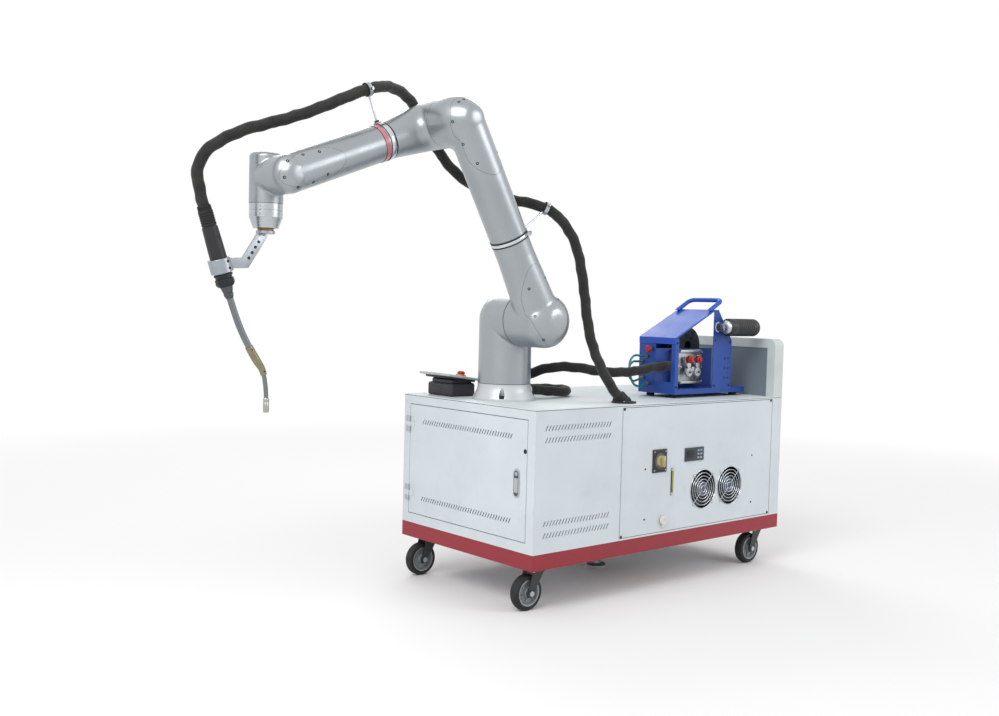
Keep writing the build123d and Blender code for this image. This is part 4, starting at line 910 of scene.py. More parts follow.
# Level gauge: a clear tube between two plastic unions on a dark backing, filled with coolant,
# whose yellow-green is what the eye sees.
backing = given(
    slab("gauge_backing", (14, 104, 1.4), (10, PANEL_FACE - 0.7, 399), NEAR_SIDE, edge=0.5),
    black_plastic,
)
coolant = moulded("coolant_in_clear_tube", "A9B33A", 0.18, depth=0.03)
tube_profile = [(1.5, 0), (1.7, 0.2), (1.7, 84), (1.5, 84.2)]
gauge_tube = given(
    turned("gauge_tube", tube_profile, (10, PANEL_FACE - 2.3, 357), (0, 0, 1), sides=20), coolant
)
unions = [
    given(
        slab("gauge_union", (12, 9, 3.6), (10, PANEL_FACE - 2.1, z), NEAR_SIDE, edge=1),
        moulded("clear_grey_union", "B9BEB9", 0.3),
    )
    for z in (353, 445)
]
fitted(
    joined("gauge_unit", [backing, gauge_tube] + unions), "base", ("level_gauge",)
)

# Drain cock: a tap moulded in cream plastic, with a fluted grip to turn it by and a short
# spout that points down.
cock_cream = moulded("cream_tap_plastic", "D9D7CB", 0.4)
cock_profile = [
    (8, 0), (10, 0), (10, 2.4), (14.6, 3.6), (16, 5), (16, 12), (14.8, 13.8), (9, 14), (8.4, 11),
    (3, 10.6),
]
cock = turned("cock_grip", cock_profile, (-42, PANEL_FACE, 258), NEAR_SIDE, sides=48)
flutes = []
for step in range(12):
    out = spoke_way(30 * step)
    at = Vector((-42, PANEL_FACE - 8.6, 258)) + out * 15.6
    flutes.append(slab("cock_flute", (2.2, 2.6, 8), at, NEAR_SIDE, facing=out, edge=0.8))
spout = turned(
    "cock_spout", [(5.2, 0), (5.2, 10), (4.6, 11), (3.6, 11), (3.4, 5)], (-42, PANEL_FACE - 7, 244),
    (0, 0, -1), sides=24,
)
given(
    joined("drain_tap", [cock, spout] + flutes), cock_cream, "base",
    ("drain_cock",),
)

# Door: a sheet tray in the same coat with two rows of vents, on zinc hinges; its flush oval
# latch is a grey lacquered casting with a grey paddle over a dark oval, painted shade of its
# recess, and a keyhole above it.
DOOR_FACE = -700
dress(cabinet_coat, "door")
dress(zinc, "door_hinges")
latch_grey = coated("grey_latch_lacquer", "A9AEB2", 0.4, coat=0.2)


def oval_plate(name, width, length, thick, place, axis, facing, edge):
    """A plate with half round ends, drawn from two half circles, its length along facing."""
    bpy.ops.object.select_all(action="DESELECT")
    bpy.ops.mesh.primitive_circle_add(vertices=48, radius=width / 2000, fill_type="NGON")
    made = made_as(name)
    reach = (length - width) / 2000
    for point in made.data.vertices:
        point.co.x += reach if point.co.x > 1e-6 or (
            abs(point.co.x) < 1e-6 and point.co.y > 0
        ) else -reach
    bpy.ops.object.mode_set(mode="EDIT")
    bpy.ops.mesh.select_all(action="SELECT")
    bpy.ops.mesh.extrude_region_move(TRANSFORM_OT_translate={"value": (0, 0, thick / 1000)})
    bpy.ops.mesh.select_all(action="SELECT")
    bpy.ops.mesh.normals_make_consistent(inside=False)
    bpy.ops.object.mode_set(mode="OBJECT")
    if edge:
        rounded(made, edge, 3)
    return settle(made, aimed(place, axis, facing))


latch_base = oval_plate(
    "latch_base", 32, 100, 3, (DOOR_FACE, -286, 441), (-1, 0, 0), (0, 0, 1), 1.2
)
latch_well = oval_plate(
    "latch_well", 23, 88, 0.5, (DOOR_FACE - 3, -286, 441), (-1, 0, 0), (0, 0, 1), 0.2
)
paddle = slab(
    "latch_paddle", (50, 19, 1.5), (DOOR_FACE - 3.6, -286, 434), (-1, 0, 0), facing=(0, 0, 1),
    edge=0.8,
)
lock_barrel = turned(
    "latch_barrel", [(7, 0), (7.2, 0.5), (7.2, 1), (6.2, 1.4), (1, 1.4)],
    (DOOR_FACE - 3.2, -286, 474), (-1, 0, 0),
)
given(latch_base, latch_grey)
# Painted shade: the dark oval under the paddle stands for the shade in the latch's recess.
given(latch_well, moulded("painted_latch_well_shade", "4A4D50", 0.6))
given(paddle, latch_grey)
given(lock_barrel, zinc)
fitted(
    joined("latch_unit", [latch_base, latch_well, paddle, lock_barrel]), "door",
    ("door_latch",),
)
keyhole = turned(
    "keyhole_rim", [(6, 0), (8, 0.2), (8, 1), (7, 1.6), (5.4, 1.6), (5, 0.6), (1, 0.5)],
    (DOOR_FACE, -326, 555), (-1, 0, 0),
)
given(keyhole, dark_steel_and_hole_shade, "door")

# Deck: a thick sheet top with a folded rim, flush with the walls; a dark strip just under its edge
# all round is painted shadow of that joint. The raised end is a folded box with a recessed grey
# lining.
deck_coat = coated("pale_powder_coated_deck", "D3DCDE", 0.5, peel=0.4, soiled=0.16)
dress(deck_coat, "deck")
dress(coated("pale_powder_coated_upright", "C6CDCB", 0.48, peel=0.4, soiled=0.12), "end_upright")
dress(coated("grey_lining_paint", "737F88", 0.5, peel=0.4, soiled=0.2), "upright_lining")
# Painted shadow: a dark strip just under the deck's edge all round stands for the shade of the
# joint below its rim.
deck_joints = [
    slab("deck_joint_strip", (1400.6, 0.9, 1.6), (0, -374.9, 696.4), edge=0.2, segments=1),
    slab("deck_joint_strip", (1400.6, 0.9, 1.6), (0, 374.9, 696.4), edge=0.2, segments=1),
    slab("deck_joint_strip", (0.9, 749, 1.6), (-699.9, 0, 696.4), edge=0.2, segments=1),
    slab("deck_joint_strip", (0.9, 749, 1.6), (699.9, 0, 696.4), edge=0.2, segments=1),
]
given(joined("deck_joint", deck_joints), shadow, "base")


# Robot foot: a cast aluminium flange in silver lacquer, flared out to the deck, with a pointed
# pocket over each of its four bolts and the connector socket at the back.
arm_lacquer = coated(
    "satin_silver_lacquer", "A0A6AA", 0.31, metallic=0.8, coat=0.1, peel=0.12, flake=0.06,
    soiled=0.04,
)
foot_lacquer = coated(
    "silver_lacquer_on_the_foot", "C4C8CB", 0.4, metallic=0.35, coat=0.1, peel=0.15, flake=0.05,
    soiled=0.08,
)
dress(foot_lacquer, "robot_foot")
foot_bolts = []
for corner in range(4):
    aim = math.radians(45 + 90 * corner)
    x, y = -520 + 103 * math.cos(aim), 103 * math.sin(aim)
    washer = turned(
        "foot_washer", [(5.6, 0.2), (11, 0.2), (11.2, 0.6), (11.2, 1.6), (10.8, 2), (5.6, 2)],
        (x, y, 710), hollow=True, sides=32,
    )
    head = turned(
        "foot_bolt", [
            (8.2, 2), (8.6, 2.4), (8.6, 9), (8, 9.8), (5.1, 9.8), (4.9, 5), (1, 4.8)
        ], (x, y, 710), sides=24
    )
    foot_bolts += [washer, head]
given(joined("foot_bolts", foot_bolts), dark_steel_and_hole_shade, "base")


def seal_ring(name, radius, place, axis, width=1.6, proud=0.45):
    """The dark lip of a shaft seal where two housings of the arm meet."""
    section = [
        (radius - 2, -width / 2), (radius + proud, -width / 2), (radius + proud, width / 2),
        (radius - 2, width / 2),
    ]
    return turned(name, section, place, axis, hollow=True, sides=128)


seal_rubber = moulded("dark_seal_lip", "2A2C2E", 0.6)
given(
    seal_ring("foot_seal", 98, (-520, 0, 762.2), (0, 0, 1), 1.8), seal_rubber, "base",
)
socket_ring = turned(
    "foot_socket_ring", [
        (21, 0), (25.6, 0), (26.4, 1), (26.4, 5), (25.4, 6), (21, 6)
    ], (-400, 0, 731), (1, 0, 0), hollow=True
)
given(socket_ring, black_plastic, "base")

# Column, upper arm and elbow: cast aluminium housings in satin silver lacquer, with a dark seal
# at each joint. Oval covers close the gearboxes, held by small black screws.
dress(arm_lacquer, "column", "upper_arm", "elbow", "forearm", "wrist")
cover_lacquer = coated(
    "satin_silver_cover_lacquer", "A2A8AC", 0.3, metallic=0.8, coat=0.12, peel=0.1, flake=0.06,
    soiled=0.03,
)
dress(cover_lacquer, "shoulder_cover", "elbow_cover", "forearm_cover")
joint_grey = moulded("grey_seal_lip", "5A5E62", 0.5)
given(
    seal_ring("shoulder_seal", 96, (-520, -95, 997), (0, 1, 0), 1.2, 0.2), joint_grey, "column",
)
given(
    seal_ring("elbow_seal", 84, (-893.5, -95, 1661.2), (0, 1, 0), 1.2, 0.2), joint_grey,
    "upper_arm",
)

LEAN = math.radians(29.35)
DROP = math.radians(21.8)
UPPER_ARM = Matrix(
    (
        (-math.sin(LEAN), -math.cos(LEAN), 0, -0.520),
        (0, 0, -1, 0),
        (math.cos(LEAN), -math.sin(LEAN), 0, 0.997),
        (0, 0, 0, 1),
    )
)
FOREARM = Matrix(
    (
        (-math.cos(DROP), math.sin(DROP), 0, -0.893489),
        (0, 0, -1, 0),
        (-math.sin(DROP), -math.cos(DROP), 0, 1.66119),
        (0, 0, 0, 1),
    )
)


def skins(*names):
    """Trees for finding the surface of some CAD nodes."""
    graph = bpy.context.evaluated_depsgraph_get()
    return [BVHTree.FromObject(nodes[name], graph) for name in names]


def first_hit(trees, start, way):
    """The first surface met from a point."""
    found = None
    for tree in trees:
        at, normal, index, distance = tree.ray_cast(start, way)
        if at is not None and (found is None or distance < found[2]):
            found = (at, normal, distance)
    return found


def cover_seam(name, arm, trees, centre, reach, half_width, egg=0.0, radius=0.75):
    """The joint line round an oval cover: a fine bead sunk in the front of the limb, dark as a
    painted shadow of the joint. The oval is drawn in wherever it would run over the limb's side."""
    turn_only = arm.to_3x3()
    inward = turn_only @ Vector((0, 0, -1))
    bpy.ops.object.select_all(action="DESELECT")
    bpy.ops.mesh.primitive_circle_add(vertices=SEAM_POINTS, radius=1)
    made = made_as(name)
    shape = [
        Vector(
            (reach * p.co.x, half_width * p.co.y * (1 - egg * p.co.x), 0)
        ) / 1000 for p in made.data.vertices
    ]
    above = Vector((centre / 1000, 0, 0.5))
    shares = []
    for offset in shape:
        share = 1.0
        while share > 0.4:
            found = first_hit(trees, arm @ (above + offset * share), inward)
            if found is not None and found[1].dot(inward) < -0.34:
                break
            share -= 0.012
        shares.append(share)
    for smoothing in range(3):
        shares = [
            sum(shares[(i + k) % SEAM_POINTS] for k in range(-4, 5)) / 9 for i in range(SEAM_POINTS)
        ]
    for point, offset, share in zip(made.data.vertices, shape, shares):
        at, normal, distance = first_hit(trees, arm @ (above + offset * share), inward)
        point.co = at - normal * (radius - 0.3) / 1000
    alone(made)
    bpy.ops.object.convert(target="CURVE")
    bpy.context.object.data.bevel_depth = radius / 1000
    bpy.context.object.data.bevel_resolution = 1
    bpy.ops.object.convert(target="MESH")
    return made_as(name)


SEAM_POINTS = 220
upper_skins = skins("upper_arm", "shoulder_cover", "elbow_cover")
# Painted shadow: the cover joints are dark beads that stand for the shade in the joint line.
seam_shadow = moulded("painted_seam_shadow", "3A3D40", 0.6)
seams = [
    cover_seam("shoulder_cover_seam", UPPER_ARM, upper_skins, 62, 162, 82, egg=0.16),
    cover_seam("elbow_cover_seam", UPPER_ARM, upper_skins, 702, 138, 79, egg=-0.08),
]
for seam in seams:
    given(seam, seam_shadow, "upper_arm", angle=80)
fore_skins = skins("forearm", "forearm_cover")
given(
    cover_seam("forearm_cover_seam", FOREARM, fore_skins, 525, 120, 54, radius=0.65), seam_shadow,
    "forearm", angle=80,
)


def cover_screws(name, arm, trees, places, mirror):
    """Black countersunk screws square to the surface, each in a black rim that is painted shade of
    its recess.
    """
    made = []
    for along, across, side in places:
        for sign in (1, -1) if mirror else (1,):
            wanted = arm @ Vector((along / 1000, sign * across / 1000, side / 1000))
            at, normal = wanted, None
            nearest = None
            for tree in trees:
                spot, face_normal, index, distance = tree.find_nearest(wanted)
                if nearest is None or distance < nearest:
                    nearest, at, normal = distance, spot, face_normal
            if normal.dot(at - arm @ Vector((along / 1000, 0, side / 1000 * 0.5))) < 0:
                normal = -normal
            rim = turned(
                name, [(4.8, -1), (5.3, -0.2), (5.2, 0.25), (4.7, 0.25), (4.5, -0.3)], at * 1000,
                normal, sides=20,
            )
            head = turned(
                name, [(4.4, -0.6), (4.3, 0.2), (3.9, 0.4), (2.3, 0.4), (2.1, -0.9), (0.4, -1)],
                at * 1000, normal, sides=18,
            )
            made += [rim, head]
    return joined(name, made)


elbow_screw_places = (
    (826.9, 11.5, 213.2), (779.2, 64.4, 211.7), (698.1, 61.5, 216.7), (623.3, 49.1, 235.6)
)
shoulder_screw_places = ((152.1, 43.8, 247.6), (56.2, 63.2, 249.4), (-35.1, 71.1, 255.7))
fore_screw_places = (
    (604.3, -42.8, 45.7), (542.7, -46.1, 41.5), (486.0, -39.1, 48.1), (633.6, 1.2, 47.1),
    (597.8, 43.7, 46.4), (537.4, 44.8, 42.8), (482.2, 35.8, 50.6),
)
# Painted shade: the black rim round each screw head stands for the shade in its recess; the heads
# are black screws.
screw_black_and_recess_shade = moulded("black_screws_and_painted_recess_shade", "0C0D0E", 0.6, metallic=0.2)
given(
    cover_screws("elbow_cover_screws", UPPER_ARM, upper_skins, elbow_screw_places, True),
    screw_black_and_recess_shade, "upper_arm",
)
given(
    cover_screws("shoulder_cover_screws", UPPER_ARM, upper_skins, shoulder_screw_places, True),
    screw_black_and_recess_shade, "upper_arm",
)
given(
    cover_screws("forearm_cover_screws", FOREARM, fore_skins, fore_screw_places, False),
    screw_black_and_recess_shade, "forearm",
)

# Status ring: a band of pale red plastic with a deeper red edge on each side, and a dark seal
# beyond them, round the forearm's joint.
ring_plastic = moulded("pale_red_ring", "C0707C", 0.22, depth=0.05)
dress(ring_plastic, "status_ring")


def on_arm(arm, along, across, side):
    """A point in the frame of its arm, in world millimetres."""
    return (arm @ Vector((along / 1000, across / 1000, side / 1000))) * 1000


fore_axis = FOREARM.to_3x3() @ Vector((1, 0, 0))
ring_edge = moulded("red_ring_edge", "9C1C34", 0.25, depth=0.05)
for along in (227.4, 236.6):
    given(
        seal_ring("ring_edge", 62, on_arm(FOREARM, along, 0, 0), fore_axis, 3.4, 0.5), ring_edge,
        "forearm",
    )
given(
    seal_ring("ring_seal_near", 62, on_arm(FOREARM, 224.4, 0, 0), fore_axis, 1.6), seal_rubber,
    "elbow",
)
given(
    seal_ring("ring_seal_far", 62, on_arm(FOREARM, 239.8, 0, 0), fore_axis, 1.6), seal_rubber,
    "forearm",
)
given(
    seal_ring("wrist_seal", 53.2, (-1441.3, 64, 1442.1), (0, 1, 0), 1.6), seal_rubber, "wrist",
)

# Wrist and tool flange: the barrel is rounded at its top; the flange is satin steel with a
# column of small holes on each side, drawn as dark discs of painted shade, a bevel and a bronze
# pilot that the tool bolts to.
WRIST_X, WRIST_Y = -1441.3, 140
given(
    seal_ring("flange_seal", 54, (WRIST_X, WRIST_Y, 1357.8), (0, 0, 1), 1.4, 0.8), seal_rubber,
    "wrist",
)
satin_steel = bright_metal(
    "satin_turned_steel", "BCC1C5", 0.27, scratch=120.0, stretch=(0.2, 0.2, 6), depth=0.03,
    tarnish=0.04,
)
flange_profile = [
    (53.4, 0), (54, -0.8), (54, -20.4), (53.2, -21), (53.2, -22.4), (54, -23), (54, -44.2),
    (53.2, -45), (41, -78.4), (39.6, -79), (10, -79),
]
flange = turned("flange_barrel", flange_profile, (WRIST_X, WRIST_Y, 1356.5), sides=128)
given(flange, satin_steel)
pilot = turned(
    "flange_pilot", [(26, 0), (26, -7.6), (25.4, -8), (10, -8)], (WRIST_X, WRIST_Y, 1277.8),
    sides=96,
)
given(pilot, bright_metal("bronze_pilot", "8A6D45", 0.36))
# Painted shade: each hole is a dark disc on the flange's face, not a bore.
flange_holes = []
for step in range(12):
    aim = math.radians(90 * (step // 3) - 138)
    out = Vector((math.cos(aim), math.sin(aim), 0))
    at = Vector((WRIST_X, WRIST_Y, 1345 - 12 * (step % 3))) + out * 53.2
    flange_holes.append(
        turned("flange_hole", [(2.2, 0), (2.2, 0.9), (1.9, 1.0), (1.0, 0.4)], at, out, sides=16)
    )
flange_holes = given(joined("flange_holes", flange_holes), dark_steel_and_hole_shade)
flange = joined("tool_flange_turned", [flange, pilot, flange_holes])
fitted(flange, "tool", ("tool_flange",))


# Torch bracket: a round foot and a flat cranked arm, milled from aluminium with a row of holes
# drawn as dark discs of painted shade, that ends in a clamp round the torch, closed by two dark
# screws on its front.
milled = bright_metal(
    "milled_aluminium", "A7ADB4", 0.34, scratch=160.0, stretch=(1, 10, 1), depth=0.3
)
TORCH_UP = Vector((-0.30902, 0, 0.95106))
TORCH_OUT = Vector((0.95106, 0, 0.30902))
CLAMP_MIDDLE = Vector((-1597.3, 140, 1150.1))


def on_torch(along, out=0.0, across=0.0):
    """A point in the torch's own frame: along its axis from the clamp's middle, out and across."""
    return CLAMP_MIDDLE + TORCH_UP * along + TORCH_OUT * out + Vector((0, across, 0))


foot = turned(
    "bracket_foot", [(30, 0), (31, -1), (31, -9), (30, -10)], (WRIST_X, WRIST_Y, 1269.8), sides=64
)


def cranked_bar(name, spine, width, thick, y):
    """A flat bar bent in its own plane: a mitred strip along its spine, then drawn out."""
    bpy.ops.object.select_all(action="DESELECT")
    bpy.ops.mesh.primitive_grid_add(x_subdivisions=len(spine) - 1, y_subdivisions=1, size=2)
    made = made_as(name)
    for point in made.data.vertices:
        i = round((point.co.x + 1) / 2 * (len(spine) - 1))
        at = Vector(spine[i])
        before = (
            at - Vector(spine[i - 1])
        ).normalized() if i else (Vector(spine[1]) - at).normalized()
        after = (Vector(spine[i + 1]) - at).normalized() if i + 1 < len(spine) else before
        mitre = (before + after).normalized()
        square = Vector((-mitre.y, mitre.x))
        reach = width / 2 / max(0.5, square.dot(Vector((-before.y, before.x))))
        flat = at + square * math.copysign(reach, point.co.y)
        point.co = (flat.x / 1000, (y + thick / 2) / 1000, flat.y / 1000)
    bpy.ops.object.mode_set(mode="EDIT")
    bpy.ops.mesh.select_all(action="SELECT")
    bpy.ops.mesh.extrude_region_move(TRANSFORM_OT_translate={"value": (0, -thick / 1000, 0)})
    bpy.ops.mesh.select_all(action="SELECT")
    bpy.ops.mesh.normals_make_consistent(inside=False)
    bpy.ops.object.mode_set(mode="OBJECT")
    return rounded(made, 1.6, 3)


level_start = on_torch(0, 31)
crank = cranked_bar(
    "bracket_crank", ((level_start.x, level_start.z), (-1513, 1163), (-1450, 1262)), 34, 14, 140
)
clamp_section = [
    (27.2, -22), (28.4, -23), (34.6, -23), (36, -21.6), (36, 21.6), (34.6, 23), (28.4, 23),
    (27.2, 22),
]
clamp = turned("bracket_clamp", clamp_section, CLAMP_MIDDLE, TORCH_UP, hollow=True, sides=96)
bracket = given(joined("bracket_metal", [foot, crank, clamp]), milled)
clamp_screws_and_hole_shade = []
for along in (-11, 11):
    out = TORCH_OUT * 0.34 + Vector((0, -0.94, 0))
    clamp_screws_and_hole_shade.append(
        screw_head("clamp_screw", on_torch(along) + out.normalized() * 35.6, out, 4.6, 2.6)
    )
# Painted shade: the bracket's holes are dark discs on its face.
for share in (0.16, 0.34, 0.52, 0.7):
    at = Vector((-1513, 140, 1163)).lerp(Vector((-1450, 140, 1262)), share)
    clamp_screws_and_hole_shade.append(
        turned(
            "bracket_hole", [(5.2, 0), (5.2, 0.4), (4.4, 0.6), (4, 0.1), (0.5, 0.1)],
            at + Vector((0, -7, 0)), NEAR_SIDE, sides=24,
        )
    )
clamp_screws_and_hole_shade = given(joined("clamp_screws_and_hole_shade", clamp_screws_and_hole_shade), dark_steel_and_hole_shade)
bracket = joined("torch_bracket_milled", [bracket, clamp_screws_and_hole_shade])
fitted(bracket, "tool", ("torch_bracket",))

# Torch body: a black barrel of glass filled nylon that tapers upwards into a ribbed rubber boot,
# where the hose is tied in, with a faceted gas nut and a collar below the clamp.
body_profile = [
    (27, -22), (27, 26), (26.9, 44), (26.2, 80), (25, 122), (24.6, 126), (22.4, 127.4), (22.4, 130),
    (23.8, 131),
]
torch_grip = given(
    turned("torch_grip", body_profile, CLAMP_MIDDLE, TORCH_UP, sides=64), black_plastic
)
boot_section = [(23.8, 131)]
for ring in range(6):
    low = 133 + ring * 7.6
    boot_section += [(23.9, low), (23.5, low + 4.2), (22.3, low + 4.8), (22.3, low + 7)]
boot_section += [(21.6, 180), (21.2, 193), (20, 194), (12, 194)]
boot = given(turned("torch_boot", boot_section, CLAMP_MIDDLE, TORCH_UP, sides=64), rubber)
nut_profile = [
    (23.5, -66.4), (25, -67), (29.6, -61), (30.6, -58), (30.6, -44), (29.6, -42), (27.2, -40.6),
    (27.2, -24), (26, -23),
]
torch_nut = given(
    turned("torch_nut", nut_profile, CLAMP_MIDDLE, TORCH_UP, sides=10), dark_steel_and_hole_shade, angle=20
)
collar = given(
    turned(
        "torch_collar", [(28.4, -34), (30.2, -33), (30.2, -28), (28.4, -27), (26, -27), (26, -34)],
        CLAMP_MIDDLE, TORCH_UP, hollow=True, sides=64,
    ),
    black_plastic,
)
trigger_plug = given(
    turned(
        "torch_plug", [(4, 0), (4.2, 0.6), (4.2, 1.6), (3.6, 2), (1.6, 0.8)],
        on_torch(92, 6, -24.6), NEAR_SIDE, sides=24,
    ),
    dark_steel_and_hole_shade,
)
ties = []
for step in range(4):
    along = 181 + step * 3
    tie_section = [
        (21.2, along - 0.8), (22.3, along - 0.6), (22.3, along + 0.6), (21.2, along + 0.8)
    ]
    ties.append(turned("hose_tie", tie_section, CLAMP_MIDDLE, TORCH_UP, hollow=True, sides=48))
ties = given(joined("hose_ties", ties), dark_steel_and_hole_shade)
torch = joined("torch_body_and_boot", [torch_grip, boot, torch_nut, collar, trigger_plug, ties])
fitted(torch, "tool", ("torch_body",))

# Swan neck: a bent tube of nickelled steel from a dark grey cone, stout above and slimmer below,
# with a brass coloured heat sleeve clamped on its bend and a slim turned nozzle.
neck_route = (
    (-1576.6, 140, 1086.4), (-1567.3, 140, 1057.9), (-1527.3, 140, 950.1), (-1471.3, 140, 854.1),
    (-1433.3, 140, 806.1), (-1429.3, 140, 722.1),
)
neck_steel = bright_metal(
    "nickelled_neck_steel", "7C8185", 0.36, stretch=(8, 8, 1), depth=0.05, tarnish=0.1
)


def neck_profile(run, turn, half):
    """The neck tube's radius: a stout upper part and a slimmer one below the heat sleeve."""
    return half * (1.08 if run < 0.24 else 0.74)


neck_line = even_steps(smooth_line("neck_line", neck_route), 0.004)
neck_tube = sleeved_tube("neck_tube", *tube_rings(neck_line, 0.0100, neck_profile), 0.0100)
given(neck_tube, neck_steel)
cone = turned(
    "neck_cone", [
        (21, -66.6), (19.4, -72), (15.4, -88), (14.6, -90), (15.6, -91), (15.6, -97), (14.4, -98),
        (14, -101), (12, -106), (10.9, -107), (8, -107),
    ], CLAMP_MIDDLE, TORCH_UP, sides=48
)
given(cone, bright_metal("grey_cone_steel", "5C6063", 0.42, tarnish=0.2))
sheath_metal = bright_metal("brassy_heat_sleeve", "8F8A70", 0.32, depth=0.04, tarnish=0.2)
sleeve_start = min(range(len(neck_line)), key=lambda i: abs(neck_line[i].z - 0.893))
sleeve_end = min(range(len(neck_line)), key=lambda i: abs(neck_line[i].z - 0.800))
sheath_line = neck_line[sleeve_start : sleeve_end + 1]


def sheath_profile(run, turn, half):
    """The heat sleeve's radius: two clamped ends and a soft belly."""
    share = run / sheath_length
    collar = 0.06 if share < 0.08 or 0.13 < share < 0.17 else 0.0
    return half * (
        0.9 + collar + 0.1 * math.sin(
            math.pi * min(1.0, share * 1.25)
        ) - 0.28 * max(0.0, share - 0.55)
    )


sheath_length = run_of(sheath_line)
sheath = given(
    sleeved_tube("neck_sheath", *tube_rings(sheath_line, 0.0135, sheath_profile), 0.0135),
    sheath_metal,
)
sheath_screws = []
for share in (0.12, 0.88):
    at = sheath_line[round(share * (len(sheath_line) - 1))] * 1000
    sheath_screws.append(
        turned(
            "sheath_screw", [(2.6, 0), (2.6, 2), (2, 2.4), (0.6, 1.6)], at + Vector((0, -12.2, 0)),
            NEAR_SIDE, sides=14,
        )
    )
sheath_screws = given(joined("sheath_screws", sheath_screws), dark_steel_and_hole_shade)
nozzle_profile = [
    (7.5, 6), (9.4, 4), (10, 2), (10, -6), (9.4, -7), (9.4, -9), (10, -10), (10, -30), (9, -41.5),
    (8.4, -42.1), (7.2, -42.1), (6.8, -30), (3, -29),
]
nozzle = given(
    turned("neck_nozzle", nozzle_profile, (-1429.3, 140, 720.1), sides=48),
    bright_metal("nickelled_nozzle", "B4B3AC", 0.3, depth=0.05, tarnish=0.12),
)
wire_tip = given(
    turned(
        "contact_tip", [(3.4, -28), (3.4, -41), (2.2, -42), (0.8, -42)], (-1429.3, 140, 720.1),
        sides=24,
    ),
    bright_metal("copper_tip", "A8623C", 0.35),
)
neck = joined("torch_swan_neck", [neck_tube, cone, sheath, sheath_screws, nozzle, wire_tip])
fitted(neck, "tool", ("torch_neck",))

# Hose clamps: a polished steel strap over a rubber liner round the arm, drawn tight by a bolt
# through its ears, with a bright rod out to a rubber lined ring round the hose.
def hose_at(place):
    """The hose line's nearest point to a place and its direction there."""
    at = Vector(place) / 1000
    i = min(range(len(hose_line)), key=lambda k: (hose_line[k] - at).length)
    return hose_line[i] * 1000, (hose_line[i + 1] - hose_line[i - 1]).normalized()


strap_steel = bright_metal("polished_strap_steel", "D2D5D8", 0.2, depth=0.03, tarnish=0.03)


def hose_clamp(name, arm, along, side, arm_radius, hold, body, node, ear_turn, two_lines):
    """One clamp: band and liner round the arm, ear with bolt, rod and ring round the hose."""
    axis = arm.to_3x3() @ Vector((1, 0, 0))
    centre = on_arm(arm, along, 0, side)
    outer = arm_radius + 3
    if two_lines:
        # a narrow band with its rubber liner showing as a black line on each side
        liner_from, liner_to, band_half = -10.5, 10.5, 5.0
    else:
        # a broad band with its liner pushed out on the side of the elbow
        liner_from, liner_to, band_half = -14.5, 9.0, 8.6
    liner_section = [
        (arm_radius + 0.1, liner_from), (arm_radius + 1.9, liner_from),
        (arm_radius + 1.9, liner_to), (arm_radius + 0.1, liner_to),
    ]
    liner = given(
        turned(name + "_liner", liner_section, centre, axis, hollow=True, sides=128), rubber
    )
    band_section = [
        (arm_radius + 1.6, -band_half), (outer - 0.2, -band_half), (outer, -band_half + 0.4),
        (outer, band_half - 0.4), (outer - 0.2, band_half), (arm_radius + 1.6, band_half),
    ]
    band = given(
        turned(name + "_band", band_section, centre, axis, hollow=True, sides=128), strap_steel
    )
    upward = Vector((axis.z, 0, -axis.x)) if axis.x < 0 else Vector((-axis.z, 0, axis.x))
    if upward.z < 0:
        upward = -upward
    hold_at, hold_run = hose_at(hold)
    away = (hold_at - centre).normalized()
    rod_start = centre + upward * (arm_radius + 2.4)
    # the rod: a flat forged foot with a nut on the band, then a bright round bar
    foot = given(
        slab(name + "_foot", (26, 15, 3), rod_start + upward * 1.6, upward, axis, edge=1.2), zinc
    )
    nut = given(
        turned(
            name + "_nut", [(7.4, 0), (8, 0.6), (8, 5.4), (7.2, 6)], rod_start + upward * 3, upward,
            sides=6,
        ),
        dark_steel_and_hole_shade,
    )
    stretch = (hold_at - rod_start).length - 24.4
    way = (hold_at - rod_start).normalized()
    bar = given(
        turned(
            name + "_rod",
            [(3.9, 3), (3.9, stretch - 8), (5.2, stretch - 6), (5.2, stretch), (3, stretch + 1.5)],
            rod_start, way, sides=24,
        ), guard_chrome
    )
    ring_section = [(20.4, -7.6), (21.2, -8), (22.6, -7.8), (22.6, 7.8), (21.2, 8), (20.4, 7.6)]
    lining = given(
        turned(name + "_ring_lining", ring_section, hold_at, hold_run, hollow=True, sides=64),
        rubber,
    )
    hoop_section = [(22.4, -6.6), (24, -6.4), (24, 6.4), (22.4, 6.6)]
    hoop = given(
        turned(name + "_hoop", hoop_section, hold_at, hold_run, hollow=True, sides=64), zinc
    )
    across_ring = hold_run.cross(way).normalized()
    lug = given(
        slab(
            name + "_lug", (13, 12, 9), hold_at + across_ring * 27.5, hold_run, across_ring,
            edge=1.2,
        ), zinc
    )
    lug_bolt = given(
        screw_head(
            name + "_lug_bolt", hold_at + across_ring * 28 + hold_run * 6, hold_run, 4.2, 3.4
        ),
        dark_steel_and_hole_shade,
    )
    turn = math.radians(ear_turn)
    other = axis.cross(upward).normalized()
    out = upward * math.cos(turn) + other * math.sin(turn)
    round_way = axis.cross(out)
    ears = []
    for face in (-1, 1):
        ears.append(
            given(
                slab(
                    name + "_ear", (15, 2.6, 14), centre + out * (outer + 6) + round_way * 5 * face,
                    axis, out, edge=0.8,
                ),
                zinc,
            )
        )
    ear_bolt = given(
        turned(
            name + "_bolt", [(3, -14), (3, 9), (5.6, 9), (5.9, 9.6), (5.9, 13), (5, 13.6)],
            centre + out * (outer + 8), round_way, sides=18,
        ),
        guard_chrome,
    )
    clamp = joined(
        name, [liner, band, foot, nut, bar, lining, hoop, lug, lug_bolt, ear_bolt] + ears
    )
    fitted(clamp, body, (node,))
    return clamp


